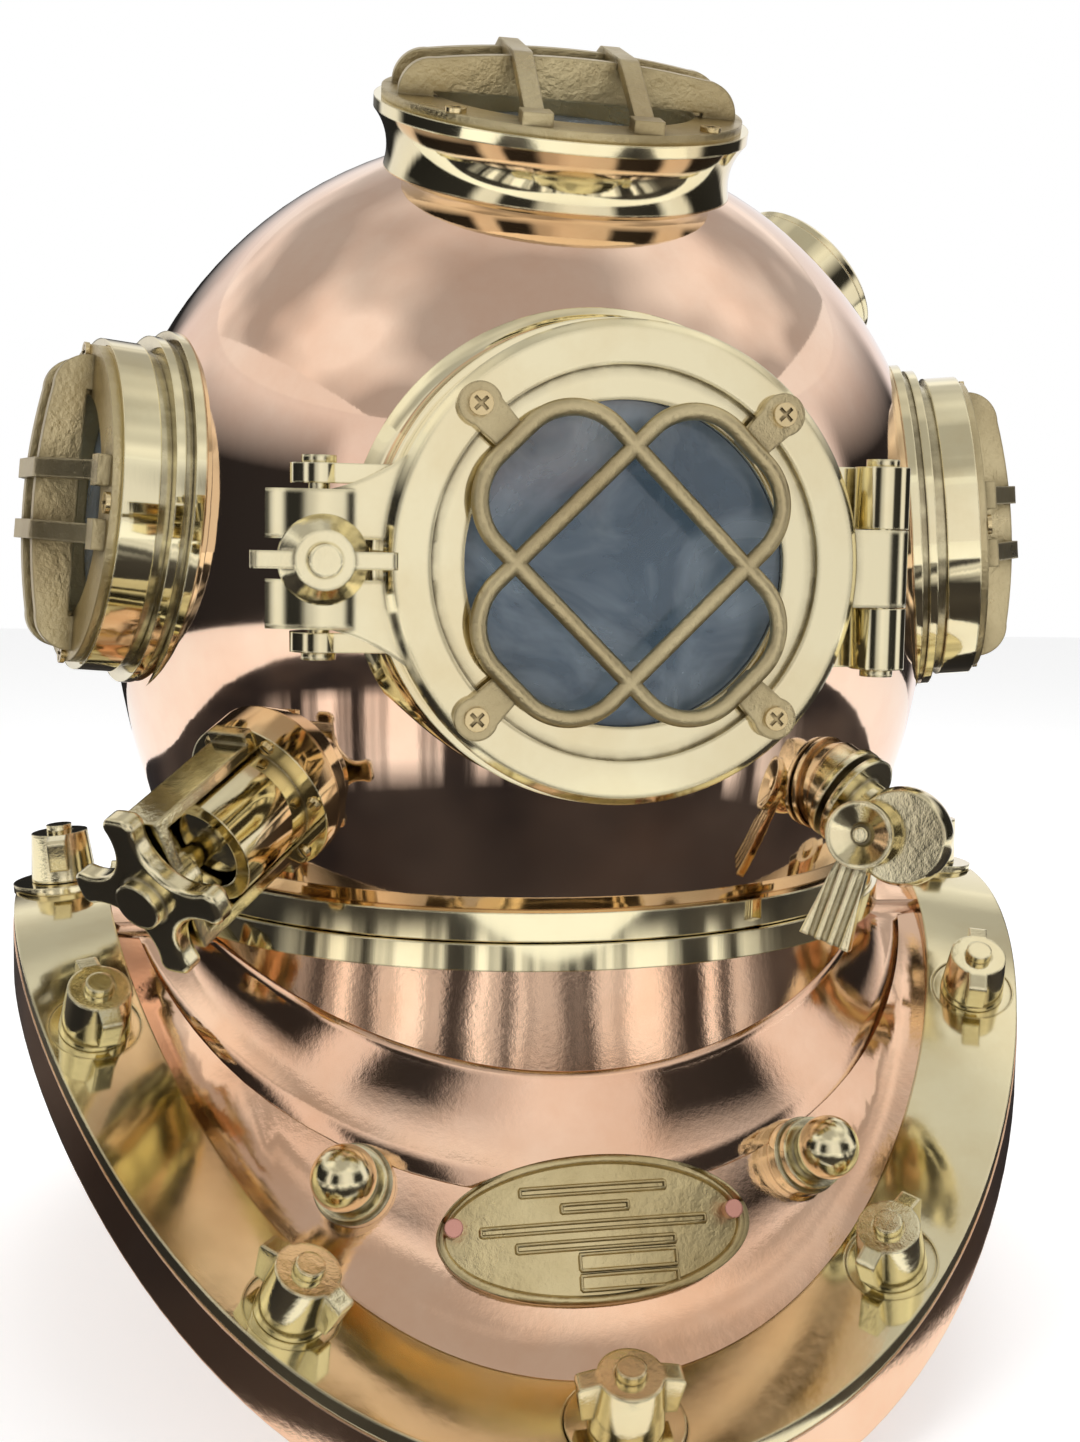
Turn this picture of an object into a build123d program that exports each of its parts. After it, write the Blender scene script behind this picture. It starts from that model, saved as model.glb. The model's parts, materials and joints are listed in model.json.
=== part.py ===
from build123d import *
import os
from math import asin, cos, radians, sin, sqrt

# A hard-hat diver's helmet: a spun copper bonnet with brass ports and valves, which locks
# with an eighth of a turn onto a copper breastplate clamped by brass straps and wing nuts.
# The front faces -Y, the diver's left is +X, and the helmet stands on Z = 0.

os.makedirs("parts", exist_ok=True)

# Fits shared by all pieces
gap = 0.3
pin_play = 0.05
overrun = 6.0

# Breastplate: its rim in plan, its heights and its sheet
rim_long = 222.0
rim_wide = 194.0
strap_width = 34.0
strap_thickness = 5.0
strap_fall_front = 11.0
strap_fall_side = 3.0
rim_front_height = 20.0
rim_side_height = 146.0
shoulder_fullness_share = -0.33
plate_drop = 3.6
skirt_depth = 17.0
skirt_wall = 2.4
collar_radius = 138.0
collar_wall = 2.6
foot_front_height = 100.0
foot_side_height = 142.0
foot_steepness_share = 0.9
blend_steps = 4
skin_step_degrees = 8

# Neck joint: the ring on the breastplate, the ring on the bonnet and the washer between
neck_height = 147.0
neck_ring_radius = 144.0
neck_ring_depth = 9.0
neck_bore_radius = 131.0
neck_opening_radius = 122.0
gasket_seat = 2.0
neck_spigot_depth = 6.0
gasket_thickness = 2.0
lug_width = 3.0
lug_depth = 2.2
lug_count = 4
lug_sweep_degrees = 40.0
neck_turn_degrees = 45.0
bonnet_ring_radius = 142.0
bonnet_ring_depth = 9.6
bonnet_ring_wall = 3.4
bonnet_lip_height = 7.0
bonnet_lip_wall = 2.7

# Bonnet: the copper dome
dome_radius = 160.0
dome_centre_height = 280.0
dome_neck_radius = 137.0
dome_wall = 2.6

# Front port and its hinged faceplate, heights measured out from the dome's centre
front_seat_radius = 74.0
front_flare_radius = 80.0
front_flare_waist = 75.6
front_flare_foot = 141.5
front_flare_middle = 147.0
front_flare_top = 156.0
front_bore_radius = 57.0
front_seat_face = 168.0
front_gasket_radius = 65.0
front_gasket_width = 5.0
front_gasket_depth = 1.6
door_radius = 72.0
door_thickness = 17.0
door_bevel = 2.5
door_glass_radius = 55.5
door_glass_thickness = 7.0
door_sight_radius = 48.5
door_lip = 2.4
door_step_radius = 58.5
door_step_depth = 3.0
door_recess_radius = 56.0
glass_gasket_depth = 1.0

# Faceplate guard: two crossed rounded hoops with four ears
hoop_half_length = 50.0
hoop_half_width = 24.5
hoop_corner = 18.0
hoop_bar = 5.2
hoop_lift = 2.0
guard_screw_circle = 64.0
guard_tongue_root = 48.0
guard_tongue_root_half = 4.4
guard_tongue_half = 5.8
guard_ear_radius = 6.4
guard_ear_height = 4.0
screw_radius = 1.9
screw_head_radius = 3.6
screw_head_height = 1.6
screw_length = 7.0
cross_width = 1.0
cross_floor = 0.7
cross_share = 0.7

# Hinge of the faceplate, on the diver's left
hinge_x = 84.0
hinge_y = 171.0
hinge_knuckle_radius = 8.6
hinge_knuckle_half = 12.0
hinge_length_half = 31.5
hinge_pin_radius = 3.5
hinge_pin_head = 5.2
hinge_pin_head_height = 2.4
hinge_web_back = 18.0
hinge_web_root = 62.0
hinge_web_inset = 2.0

# Latch of the faceplate, on the diver's right: swing bolt, washer and wing nut
latch_x = 89.0
latch_y = 158.5
latch_ear_half = 20.0
latch_slot_half = 5.8
latch_fork_root = 65.0
latch_flare_x = 57.0
latch_flare_half = 38.0
latch_flare_end = 87.0
latch_flare_middle = 72.0
latch_flare_waist = 26.0
latch_ear_reach = 26.0
latch_ear_end = 105.0
latch_lug_thickness = 6.0
latch_lug_half = 22.0
latch_lug_radius = 8.6
latch_pin_radius = 3.2
bolt_eye_radius = 8.0
bolt_eye_half = 5.4
bolt_radius = 4.6
bolt_length = 43.0
latch_washer_radius = 13.0
latch_washer_thickness = 1.6
latch_nut_radius = 13.0
latch_nut_top_radius = 8.4
latch_nut_height = 8.6
latch_wing_reach = 20.5
latch_wing_thickness = 5.0
latch_wing_foot = 2.0
latch_wing_height = 8.0

# Side and top ports, heights measured out from the dome's centre
side_port_azimuth = 74.0
side_port_elevation = 5.0
side_port_radius = 60.0
side_port_bore = 42.0
side_port_face = 172.0
side_band_depth = 12.0
side_groove_depth = 4.0
side_groove_inset = 4.5
side_bead_depth = 3.2
side_bead_proud = 1.4
side_lower_depth = 2.6
side_band_inset = 2.0
top_port_tilt = 22.0
top_port_radius = 66.5
top_port_bore = 46.5
top_port_face = 171.0
top_waist_inset = 5.0
top_waist_depth = 27.0
top_rim_depth = 4.0
port_flange_proud = 4.0
port_glass_depth = 9.0
port_glass_lip = 9.0
port_glass_thickness = 6.4
port_gasket_thickness = 1.0

# Guards of the side and top ports
grate_ring_inset = 2.6
grate_ring_thickness = 3.0
grate_ring_width = 17.0
grate_screw_inset = 2.8
side_rib_spacing = 9.0
top_rib_spacing = 12.0
grate_rib_thickness = 4.4
grate_rib_height = 16.0
grate_rib_end_inset = 4.4
grate_rib_slope = 12.0
grate_rib_arch = 3.6
grate_rib_cheek = 2.6
grate_rib_cheek_height = 8.0
grate_slit_height = 1.6
grate_strap_width = 6.6
grate_strap_thickness = 4.2
grate_strap_height = 17.6
grate_strap_reach = 6.0
grate_strap_corner = 9.0
side_strap_spacing = 10.5
top_strap_spacing = 18.5
grate_foot_length = 9.0
grate_foot_spread = 1.8
grate_foot_height = 4.2

# Telephone cup, high on the diver's left and towards the back
cup_azimuth = 104.0
cup_elevation = 43.0
cup_radius = 34.0
cup_base_radius = 30.0
cup_wall = 3.4
cup_face = 173.0
cup_step = 9.0
cup_floor_height = 162.0
cup_lid_thickness = 4.0
cup_lid_bevel = 1.5
cup_wire_hole = 7.0

# Rear elbows for the air hose and the telephone cable
elbow_elevation = 4.0
elbow_azimuth = 158.0
elbow_flange_radius = 19.0
elbow_flange_face = 166.0
elbow_reach = 186.0
elbow_bend = 14.0
elbow_drop = 40.0
elbow_lean_degrees = 35.0
elbow_collar = 3.0
elbow_collar_drop = 24.0
elbow_collar_depth = 6.0
air_bore = 6.5
air_tube = 11.0
phone_bore = 4.5
phone_tube = 8.5

# Regulating exhaust valve, low on the diver's right, heights measured out from the dome's centre
exhaust_azimuth = -43.0
exhaust_elevation = -27.0
exhaust_flange_radius = 27.0
exhaust_flange_face = 174.0
exhaust_body_radius = 19.0
exhaust_body_face = 204.0
exhaust_bore = 14.0
exhaust_seat_bore = 9.0
exhaust_seat_face = 176.0
exhaust_guide_radius = 5.5
exhaust_spoke_width = 2.4
exhaust_spoke_depth = 4.0
exhaust_spoke_count = 3
exhaust_yoke_width = 15.0
exhaust_yoke_thickness = 4.0
exhaust_yoke_face = 222.0
exhaust_yoke_lip = 4.0
exhaust_yoke_boss_radius = 9.0
exhaust_stem_radius = 4.0
exhaust_stem_foot = 196.0
exhaust_carrier_radius = 12.0
exhaust_carrier_depth = 3.0
exhaust_handle_radius = 29.0
exhaust_handle_bite_radius = 15.2
exhaust_handle_bite_circle = 28.6
exhaust_lobe_fillet = 3.4
exhaust_edge_fillet = 1.6
exhaust_handle_foot = 223.0
exhaust_handle_thickness = 7.0
exhaust_hub_radius = 8.0
exhaust_hub_depth = 4.0
chin_button_radius = 15.0
chin_button_thickness = 3.5
chin_button_foot = 146.0
chin_stem_radius = 3.0
chin_disc_radius = 12.0
chin_disc_thickness = 2.4

# Spitcock, low on the diver's left, heights measured out from the dome's centre
spit_azimuth = 37.0
spit_elevation = -27.0
spit_base_radius = 15.0
spit_base_face = 172.0
spit_ring_radius = 17.0
spit_ring_depth = 2.6
spit_neck_radius = 9.5
spit_ball_height = 200.0
spit_ball_radius = 17.0
spit_bore = 3.0

# Spitcock's dial and lever, which turn about their own axis in front of the ball
dial_x = 88.7
dial_y = 148.5
dial_z = 191.0
dial_azimuth = -37.0
dial_elevation = 6.0
dial_radius = 11.5
dial_rim = 3.0
dial_rim_width = 1.2
dial_neck_radius = 6.5
dial_depth = 9.0
dial_dish_radius = 2.6
dial_dish_depth = 4.0
dial_stud_proud = 2.0
plug_radius = 3.5
plug_length = 12.0
spit_lever_length = 39.0
spit_lever_root = 4.0
spit_lever_tip = 9.0
spit_lever_thickness = 4.4
spit_lever_lean = 16.6
spit_flute_radius = 1.3
spit_flute_spacing = 4.6

# Studs, wing nuts and joint washers of the straps
stud_count = 12
stud_front_degrees = 33.0
stud_shoulder_degrees = 64.0
stud_radius = 4.6
stud_proud = 3.0
stud_tail = 13.0
spotface_depth = 0.7
spotface_radius = 15.0
nut_height = 18.0
nut_base_radius = 11.8
nut_top_radius = 10.2
wing_reach = 16.5
wing_foot = 5.0
wing_foot_reach = 14.5
wing_tip_height = 16.6
wing_thickness = 6.6
wing_round = 1.6
joint_washer_radius = 18.5
joint_washer_thickness = 3.0
joint_washer_spotface = 1.4

# Lanyard studs, nameplate and rivets on the copper skin
ball_angle = 30.5
ball_station = 0.46
ball_radius = 10.5
ball_foot_radius = 13.0
ball_foot_height = 5.0
ball_ring_radius = 12.0
ball_ring_height = 4.4
ball_neck_radius = 8.6
ball_neck_height = 2.4
nameplate_station = 0.4
nameplate_half_length = 51.0
nameplate_half_width = 23.0
nameplate_lift = 3.6
nameplate_rivet_inset = 5.0
nameplate_rivet_radius = 3.0
nameplate_rivet_height = 1.6

# Safety latch at the back of the neck joint
safety_width = 16.0
safety_block_depth = 10.0
safety_pin_radius = 2.2
safety_eye_radius = 5.0
safety_arm_length = 17.0
safety_arm_width = 6.0
safety_arm_thickness = 4.0
safety_knob_radius = 5.5
safety_fork_slot = 7.2
safety_fork_depth = 10.0
safety_fork_height = 6.0


def turned(*corners):
    """A solid of revolution about Z from its section's (radius, height) corners."""
    section = make_face(Polyline(*[(r, 0, z) for r, z in corners], close=True))
    return revolve(section, Axis.Z)


def drum(radius, low, high):
    """A round bar on the Z axis between two heights."""
    return Pos(0, 0, low) * Cylinder(radius, high - low, align=(Align.CENTER, Align.CENTER, Align.MIN))


def ring(bore, radius, low, high):
    """A plain ring on the Z axis between two heights."""
    return drum(radius, low, high) - drum(bore, low - overrun, high + overrun)


def block(x_low, x_high, y_low, y_high, z_low, z_high):
    """A box between six faces."""
    size = (x_high - x_low, y_high - y_low, z_high - z_low)
    return Pos(x_low, y_low, z_low) * Box(*size, align=(Align.MIN, Align.MIN, Align.MIN))


def oval(half_wide, half_long, low, high):
    """An upright bar of elliptical section."""
    return extrude(Pos(0, 0, low) * Ellipse(half_wide, half_long), high - low)


def polar(shape, count):
    """Copies of a shape spread evenly about the Z axis."""
    return [Rot(0, 0, 360 * i / count) * shape for i in range(count)]


def save(node, shape):
    """Write one sub-part under its node name."""
    export_step(shape, f"parts/{node}.step")


# The copper skin of the breastplate, as a surface that the rim, straps and collar share

def rise_share(angle):
    """How far the rim has climbed from the front or back (0) to the shoulder (1)."""
    climb = sin(angle) ** 2
    return climb * (1 + shoulder_fullness_share * (1 - climb))


def skin_point(angle, station):
    """A point of the skin: station 0 at the collar, 1 and 2 at the strap's two edges."""
    across, along = sin(angle), -cos(angle)
    foot = Vector(collar_radius * across, collar_radius * along)
    inner = Vector((rim_wide - strap_width) * across, (rim_long - strap_width) * along)
    outer = Vector(rim_wide * across, rim_long * along)
    foot_z = foot_front_height + (foot_side_height - foot_front_height) * across ** 2
    middle_z = rim_front_height + (rim_side_height - rim_front_height) * rise_share(angle)
    fall = strap_fall_front + (strap_fall_side - strap_fall_front) * across ** 2
    inner_z = middle_z + fall / 2
    if station >= 1:
        place = inner + (outer - inner) * (station - 1)
        return Vector(place.X, place.Y, inner_z - fall * (station - 1))
    place = foot + (inner - foot) * station
    start_slope = foot_steepness_share * (inner_z - foot_z)
    if station <= 0:
        return Vector(place.X, place.Y, foot_z + start_slope * station)
    end_slope = -fall * (inner - foot).length / strap_width
    s = station
    level = (2 * s ** 3 - 3 * s ** 2 + 1) * foot_z + (3 * s ** 2 - 2 * s ** 3) * inner_z
    level += (s ** 3 - 2 * s ** 2 + s) * start_slope + (s ** 3 - s ** 2) * end_slope
    return Vector(place.X, place.Y, level)


def skin_frame(angle, station, lift):
    """A plane on the skin, raised straight up by lift, with Z square to it and X along the rim."""
    step = 0.01
    along = skin_point(angle + step, station) - skin_point(angle - step, station)
    outward = skin_point(angle, station + step) - skin_point(angle, station - step)
    normal = outward.cross(along)
    if normal.Z < 0:
        normal = -normal
    origin = skin_point(angle, station) + Vector(0, 0, lift)
    return Plane(origin=origin, x_dir=along, z_dir=normal)


stations = [-0.2] + [i / blend_steps for i in range(3 * blend_steps - blend_steps + 1)] + [2.2]
skin_turns = range(-96, 97, skin_step_degrees)
skin_grid = [[skin_point(radians(a), s) for s in stations] for a in skin_turns]
front_skin = Face.make_surface_from_array_of_points(skin_grid)
front_room = block(-2 * rim_wide, 2 * rim_wide, -2 * rim_long, 0, -rim_long, 2 * rim_long)


def front_slab(lift, depth):
    """The front half of the layer between the skin raised by lift and the same surface lower by depth."""
    return extrude(Pos(0, 0, lift) * front_skin, amount=depth, dir=(0, 0, -1)) & front_room


def front_and_back(shape):
    """A front half joined to its mirror image."""
    return shape + mirror(shape, Plane.XZ)


# Breastplate
tall = 2 * rim_long
rim_oval = oval(rim_wide, rim_long, -overrun, tall)
skirt_core = oval(rim_wide - skirt_wall, rim_long - skirt_wall, -2 * overrun, 2 * tall)
collar_inner = collar_radius - collar_wall
below_skin = front_slab(0, neck_height)
plate = front_slab(0, plate_drop) & (rim_oval - drum(collar_inner, -overrun, tall))
skirt = front_slab(0, skirt_depth) & (rim_oval - skirt_core)
collar = (ring(collar_inner, collar_radius, 0, neck_height) & front_room) - below_skin
ground = block(-2 * rim_wide, 2 * rim_wide, -2 * rim_long, 2 * rim_long, -rim_long, 0)

quarter_turns = [0, stud_front_degrees, stud_shoulder_degrees, 90]
half_turns = quarter_turns + [180 - turn for turn in reversed(quarter_turns[:-1])]
stud_turns = half_turns + [360 - turn for turn in reversed(half_turns[1:-1])]
stud_angles = [radians(turn) for turn in stud_turns]
joint_steps = stud_count // 4


def is_joint(index):
    """True for the four studs where two straps meet."""
    return index % joint_steps == 0


def stud_frame(index):
    """The seat of a stud's nut on the strap, with Z along the stud."""
    frame = skin_frame(stud_angles[index], 1.5, strap_thickness)
    sink = joint_washer_spotface if is_joint(index) else spotface_depth
    return frame.offset(-sink)


def stud_rise(index):
    """What lies between a stud's seat and its nut."""
    return joint_washer_thickness if is_joint(index) else 0


def strap_cuts(index):
    """The flat seat and the hole that a stud needs in the straps."""
    radius = joint_washer_radius + gap if is_joint(index) else spotface_radius
    return stud_frames[index] * (drum(radius, 0, 4 * overrun) + drum(stud_radius + gap, -stud_tail, overrun))


stud_frames = [stud_frame(i) for i in range(stud_count)]
stud_top = nut_height + stud_proud
studs = [stud_frames[i] * drum(stud_radius, -stud_tail, stud_top + stud_rise(i)) for i in range(stud_count)]
front_shell = plate + skirt + collar - ground
for index in range(stud_count):
    if abs(index - stud_count / 2) >= joint_steps:
        front_shell -= stud_frames[index] * drum(stud_radius, -stud_tail, overrun)
save("breastplate_shell", front_and_back(front_shell))
save("strap_studs", Compound(studs))

half_gap = gap / 2
strap_ring = oval(rim_wide - gap, rim_long - gap, -overrun, tall)
strap_ring -= oval(rim_wide - strap_width, rim_long - strap_width, -2 * overrun, 2 * tall)
strap_ring &= block(half_gap, tall, -tall, -half_gap, -tall, tall)
strap = front_slab(strap_thickness, strap_thickness) & strap_ring
for index in range(joint_steps + 1):
    strap -= strap_cuts(index)
save("strap_front_left", strap)
save("strap_front_right", mirror(strap, Plane.YZ))
save("strap_rear_left", mirror(strap, Plane.XZ))
save("strap_rear_right", mirror(mirror(strap, Plane.XZ), Plane.YZ))

washer = ring(stud_radius + pin_play, joint_washer_radius, 0, joint_washer_thickness)
save("strap_joint_washers", Compound([stud_frames[i] * washer for i in range(0, stud_count, joint_steps)]))


def wing_nut():
    """A turned boss with two short thick wings flush with its top."""
    boss = turned((0, 0), (nut_base_radius, 0), (nut_top_radius, nut_height), (0, nut_height))
    outline = Polyline(
        (-wing_foot_reach, wing_foot), (wing_foot_reach, wing_foot), (wing_reach, wing_tip_height),
        (nut_top_radius, nut_height), (-nut_top_radius, nut_height), (-wing_reach, wing_tip_height), close=True,
    )
    wings = extrude(Plane.XZ * make_face(outline), wing_thickness / 2, both=True)
    tips = wings.edges().group_by(Axis.X)
    wings = fillet(tips[0].filter_by(Axis.Y) + tips[-1].filter_by(Axis.Y), wing_round)
    return boss + wings - drum(stud_radius + pin_play, -overrun, nut_height + overrun)


nut = Pos(0, 0, gap) * wing_nut()
for index, frame in enumerate(stud_frames):
    save(f"wing_nut_{index + 1:02d}", frame * Pos(0, 0, stud_rise(index)) * nut)

ball_step = ball_foot_height + ball_ring_height
ball_height = ball_step + ball_neck_height + sqrt(ball_radius ** 2 - ball_neck_radius ** 2)
lanyard_stud = drum(ball_foot_radius, -overrun, ball_foot_height) + drum(ball_ring_radius, 0, ball_step)
lanyard_stud += drum(ball_neck_radius, 0, ball_height) + Pos(0, 0, ball_height) * Sphere(ball_radius)
left_ball = skin_frame(radians(ball_angle), ball_station, 0) * lanyard_stud - below_skin
save("lanyard_studs", Compound([left_ball, mirror(left_ball, Plane.YZ)]))

plate_frame = skin_frame(0, nameplate_station, 0)
plate_bar = oval(nameplate_half_length, nameplate_half_width, -neck_height / 4, neck_height / 4)
nameplate = front_slab(nameplate_lift, nameplate_lift) & (plate_frame * plate_bar)
rivet_place = nameplate_half_length - nameplate_rivet_inset
rivet_frame = skin_frame(0, nameplate_station, nameplate_lift)
rivet_bar = Pos(rivet_place, 0, 0) * drum(nameplate_rivet_radius, -nameplate_lift, nameplate_rivet_height)
rivet = rivet_frame * rivet_bar
nameplate -= rivet + mirror(rivet, Plane.YZ)
save("nameplate", nameplate)
rivet -= below_skin
save("nameplate_rivets", Compound([rivet, mirror(rivet, Plane.YZ)]))


# Neck joint
neck_top = neck_height + neck_ring_depth
seat_height = neck_height + gasket_seat


def lugs(bore, radius, low, high):
    """Evenly spaced teeth of an interrupted thread."""
    section = make_face(Polyline((bore, 0, low), (radius, 0, low), (radius, 0, high), (bore, 0, high), close=True))
    tooth = Rot(0, 0, -lug_sweep_degrees / 2) * revolve(section, Axis.Z, lug_sweep_degrees)
    return polar(tooth, lug_count)


neck_ring = turned(
    (neck_opening_radius, neck_height - neck_spigot_depth), (collar_inner, neck_height - neck_spigot_depth),
    (collar_inner, neck_height), (neck_ring_radius, neck_height), (neck_ring_radius, neck_top),
    (neck_bore_radius, neck_top), (neck_bore_radius, seat_height), (neck_opening_radius, seat_height),
)
for tooth in lugs(neck_bore_radius - lug_width, neck_bore_radius, neck_top - lug_depth, neck_top):
    neck_ring += tooth
gasket_top = seat_height + gasket_thickness
save("neck_gasket", ring(neck_opening_radius + gap, neck_bore_radius - gap, seat_height, gasket_top))

ring_foot = neck_top + gap
ring_top = ring_foot + bonnet_ring_depth
spigot_foot = gasket_top + gap
spigot_radius = neck_bore_radius - lug_width - gap
spigot_bore = spigot_radius - bonnet_ring_wall
lip_radius = dome_neck_radius - dome_wall - 2 * gap
lip_bore = lip_radius - bonnet_lip_wall
bonnet_ring = turned(
    (spigot_bore, spigot_foot), (spigot_radius, spigot_foot), (spigot_radius, ring_foot),
    (bonnet_ring_radius, ring_foot), (bonnet_ring_radius, ring_top), (lip_radius, ring_top),
    (lip_radius, ring_top + bonnet_lip_height), (lip_bore, ring_top + bonnet_lip_height),
    (lip_bore, ring_foot + bonnet_ring_wall), (spigot_bore, ring_foot + bonnet_ring_wall),
)
for tooth in lugs(spigot_radius, neck_bore_radius - gap, spigot_foot, spigot_foot + lug_depth):
    bonnet_ring += tooth

# Safety latch at the back: a knobbed arm on the neck ring and two jaws on the bonnet ring
safety_y = neck_ring_radius + safety_block_depth / 2
safety_z = neck_height + neck_ring_depth / 2
safety_half = safety_width / 2
slot_half = safety_fork_slot / 2
safety_block = block(-safety_half, safety_half, 0, safety_y + safety_eye_radius, neck_height, neck_top)
safety_block -= drum(neck_ring_radius, 0, tall)
safety_block -= block(-slot_half, slot_half, neck_ring_radius, tall, 0, tall)
across = Plane(origin=(0, safety_y, safety_z), x_dir=(0, 1, 0), z_dir=(1, 0, 0))
safety_block += across * drum(safety_pin_radius, -safety_half, safety_half)
neck_ring += safety_block
save("neck_ring", neck_ring)
arm_half = safety_arm_width / 2
arm = drum(safety_eye_radius - gap, -arm_half, arm_half)
arm += block(-safety_arm_length, 0, -safety_arm_thickness / 2, safety_arm_thickness / 2, -arm_half, arm_half)
arm += Pos(-safety_arm_length, 0, 0) * Sphere(safety_knob_radius)
arm -= drum(safety_pin_radius + pin_play, -safety_width, safety_width)
save("safety_arm", across * Rot(0, 0, 180) * arm)
fork_foot = ring_foot + gap
fork = block(-safety_half, safety_half, 0, safety_y + safety_fork_depth / 2, fork_foot, fork_foot + safety_fork_height)
fork -= drum(bonnet_ring_radius, 0, tall)
fork -= block(-slot_half, slot_half, 0, tall, 0, tall)
save("bonnet_ring", bonnet_ring)
save("safety_fork", fork)


# Bonnet dome
lower_drop = dome_centre_height - ring_top
lower_taper = dome_radius - dome_neck_radius
lower_radius = (lower_drop ** 2 + lower_taper ** 2) / (2 * lower_taper)
lower_centre = dome_radius - lower_radius


def dome_body(inset):
    """The dome's outline turned to a solid, taken inward by inset."""
    upper = dome_radius - inset
    lower = lower_radius - inset
    foot = lower_centre + sqrt(lower ** 2 - lower_drop ** 2)
    half = asin(lower_drop / lower) / 2
    lower_middle = (lower_centre + lower * cos(half), 0, dome_centre_height - lower * sin(half))
    upper_middle = (upper * cos(radians(45)), 0, dome_centre_height + upper * sin(radians(45)))
    waist = (upper, 0, dome_centre_height)
    crown = (0, 0, dome_centre_height + upper)
    outline = Polyline(crown, (0, 0, ring_top), (foot, 0, ring_top))
    outline += ThreePointArc((foot, 0, ring_top), lower_middle, waist)
    outline += ThreePointArc(waist, upper_middle, crown)
    return revolve(make_face(outline), Axis.Z)


def dome_frame(azimuth, elevation):
    """A plane at the dome's centre with Z out through a fitting, X to its side and Y upward."""
    a, e = radians(azimuth), radians(elevation)
    outward = (sin(a) * cos(e), -cos(a) * cos(e), sin(e))
    return Plane(origin=(0, 0, dome_centre_height), x_dir=(cos(a), sin(a), 0), z_dir=outward)


dome_solid = dome_body(0)
half_dome = dome_radius / 2
front_frame = dome_frame(0, 0)
side_frame = dome_frame(side_port_azimuth, side_port_elevation)
top_frame = dome_frame(0, 90 - top_port_tilt)
cup_frame = dome_frame(cup_azimuth, cup_elevation)
air_frame = dome_frame(elbow_azimuth, elbow_elevation)
phone_frame = dome_frame(-elbow_azimuth, elbow_elevation)
exhaust_frame = dome_frame(exhaust_azimuth, exhaust_elevation)
spit_frame = dome_frame(spit_azimuth, spit_elevation)


def through(frame, radius):
    """A round hole from inside the dome out along a fitting's axis."""
    return frame * drum(radius, half_dome, 2 * dome_radius)


dome = dome_solid - dome_body(dome_wall)
dome -= through(front_frame, front_bore_radius)
side_hole = through(side_frame, side_port_bore)
dome -= side_hole
dome -= mirror(side_hole, Plane.YZ)
dome -= through(top_frame, top_port_bore)
dome -= through(cup_frame, cup_wire_hole)
dome -= through(air_frame, air_bore)
dome -= through(phone_frame, phone_bore)
dome -= through(exhaust_frame, exhaust_seat_bore)
dome -= through(spit_frame, spit_bore)
save("bonnet_dome", dome)


def y_bar(radius, x, z, low, high):
    """A round bar along a fitting's Y at a place in its X and Z."""
    return Plane(origin=(x, 0, z), x_dir=(1, 0, 0), z_dir=(0, -1, 0)) * drum(radius, -high, -low)


def both_ways(shape):
    """A shape and its mirror image across a fitting's X-Z plane."""
    return shape + mirror(shape, Plane.XZ)


# Front port, its faceplate, the hinge on the diver's left and the latch on the diver's right
knuckle_low = hinge_knuckle_half + gap
outline = Polyline(
    (front_seat_radius, 0, front_flare_top), (front_seat_radius, 0, front_seat_face),
    (front_bore_radius, 0, front_seat_face), (front_bore_radius, 0, half_dome), (front_flare_radius, 0, half_dome),
    (front_flare_radius, 0, front_flare_foot),
)
flare_middle = (front_flare_waist, 0, front_flare_middle)
outline += ThreePointArc((front_flare_radius, 0, front_flare_foot), flare_middle, (front_seat_radius, 0, front_flare_top))
seat = revolve(make_face(outline), Axis.Z)
groove_foot = front_seat_face - front_gasket_depth
groove_bore = front_gasket_radius - front_gasket_width / 2
groove_rim = front_gasket_radius + front_gasket_width / 2
seat -= ring(groove_bore, groove_rim, groove_foot, front_seat_face + overrun)
web_top = front_seat_face - hinge_web_inset
web = block(hinge_web_root, hinge_x, knuckle_low, hinge_length_half, web_top - hinge_web_back, web_top)
web += y_bar(hinge_knuckle_radius, hinge_x, hinge_y, knuckle_low, hinge_length_half)
seat += both_ways(web)
seat -= y_bar(hinge_pin_radius, hinge_x, hinge_y, -tall, tall)
lug_outer = latch_lug_half + latch_lug_thickness
lug = block(-latch_x, -hinge_web_root, latch_lug_half, lug_outer, latch_y - latch_lug_radius, web_top)
lug += y_bar(latch_lug_radius, -latch_x, latch_y, latch_lug_half, lug_outer)
seat += both_ways(lug)
seat -= y_bar(latch_pin_radius, -latch_x, latch_y, -tall, tall)
save("front_port_seat", front_frame * seat - dome_solid)
save("front_port_gasket", front_frame * ring(groove_bore, groove_rim, groove_foot, front_seat_face))

hinge_pin_end = hinge_length_half + hinge_pin_head_height
hinge_pin = y_bar(hinge_pin_radius, hinge_x, hinge_y, -hinge_length_half, hinge_length_half)
hinge_pin += both_ways(y_bar(hinge_pin_head, hinge_x, hinge_y, hinge_length_half, hinge_pin_end))
latch_pin = y_bar(latch_pin_radius, -latch_x, latch_y, -lug_outer, lug_outer)
latch_pin += both_ways(y_bar(hinge_pin_head, -latch_x, latch_y, lug_outer, lug_outer + hinge_pin_head_height))
save("faceplate_pins", Compound([front_frame * hinge_pin, front_frame * latch_pin]))

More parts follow.
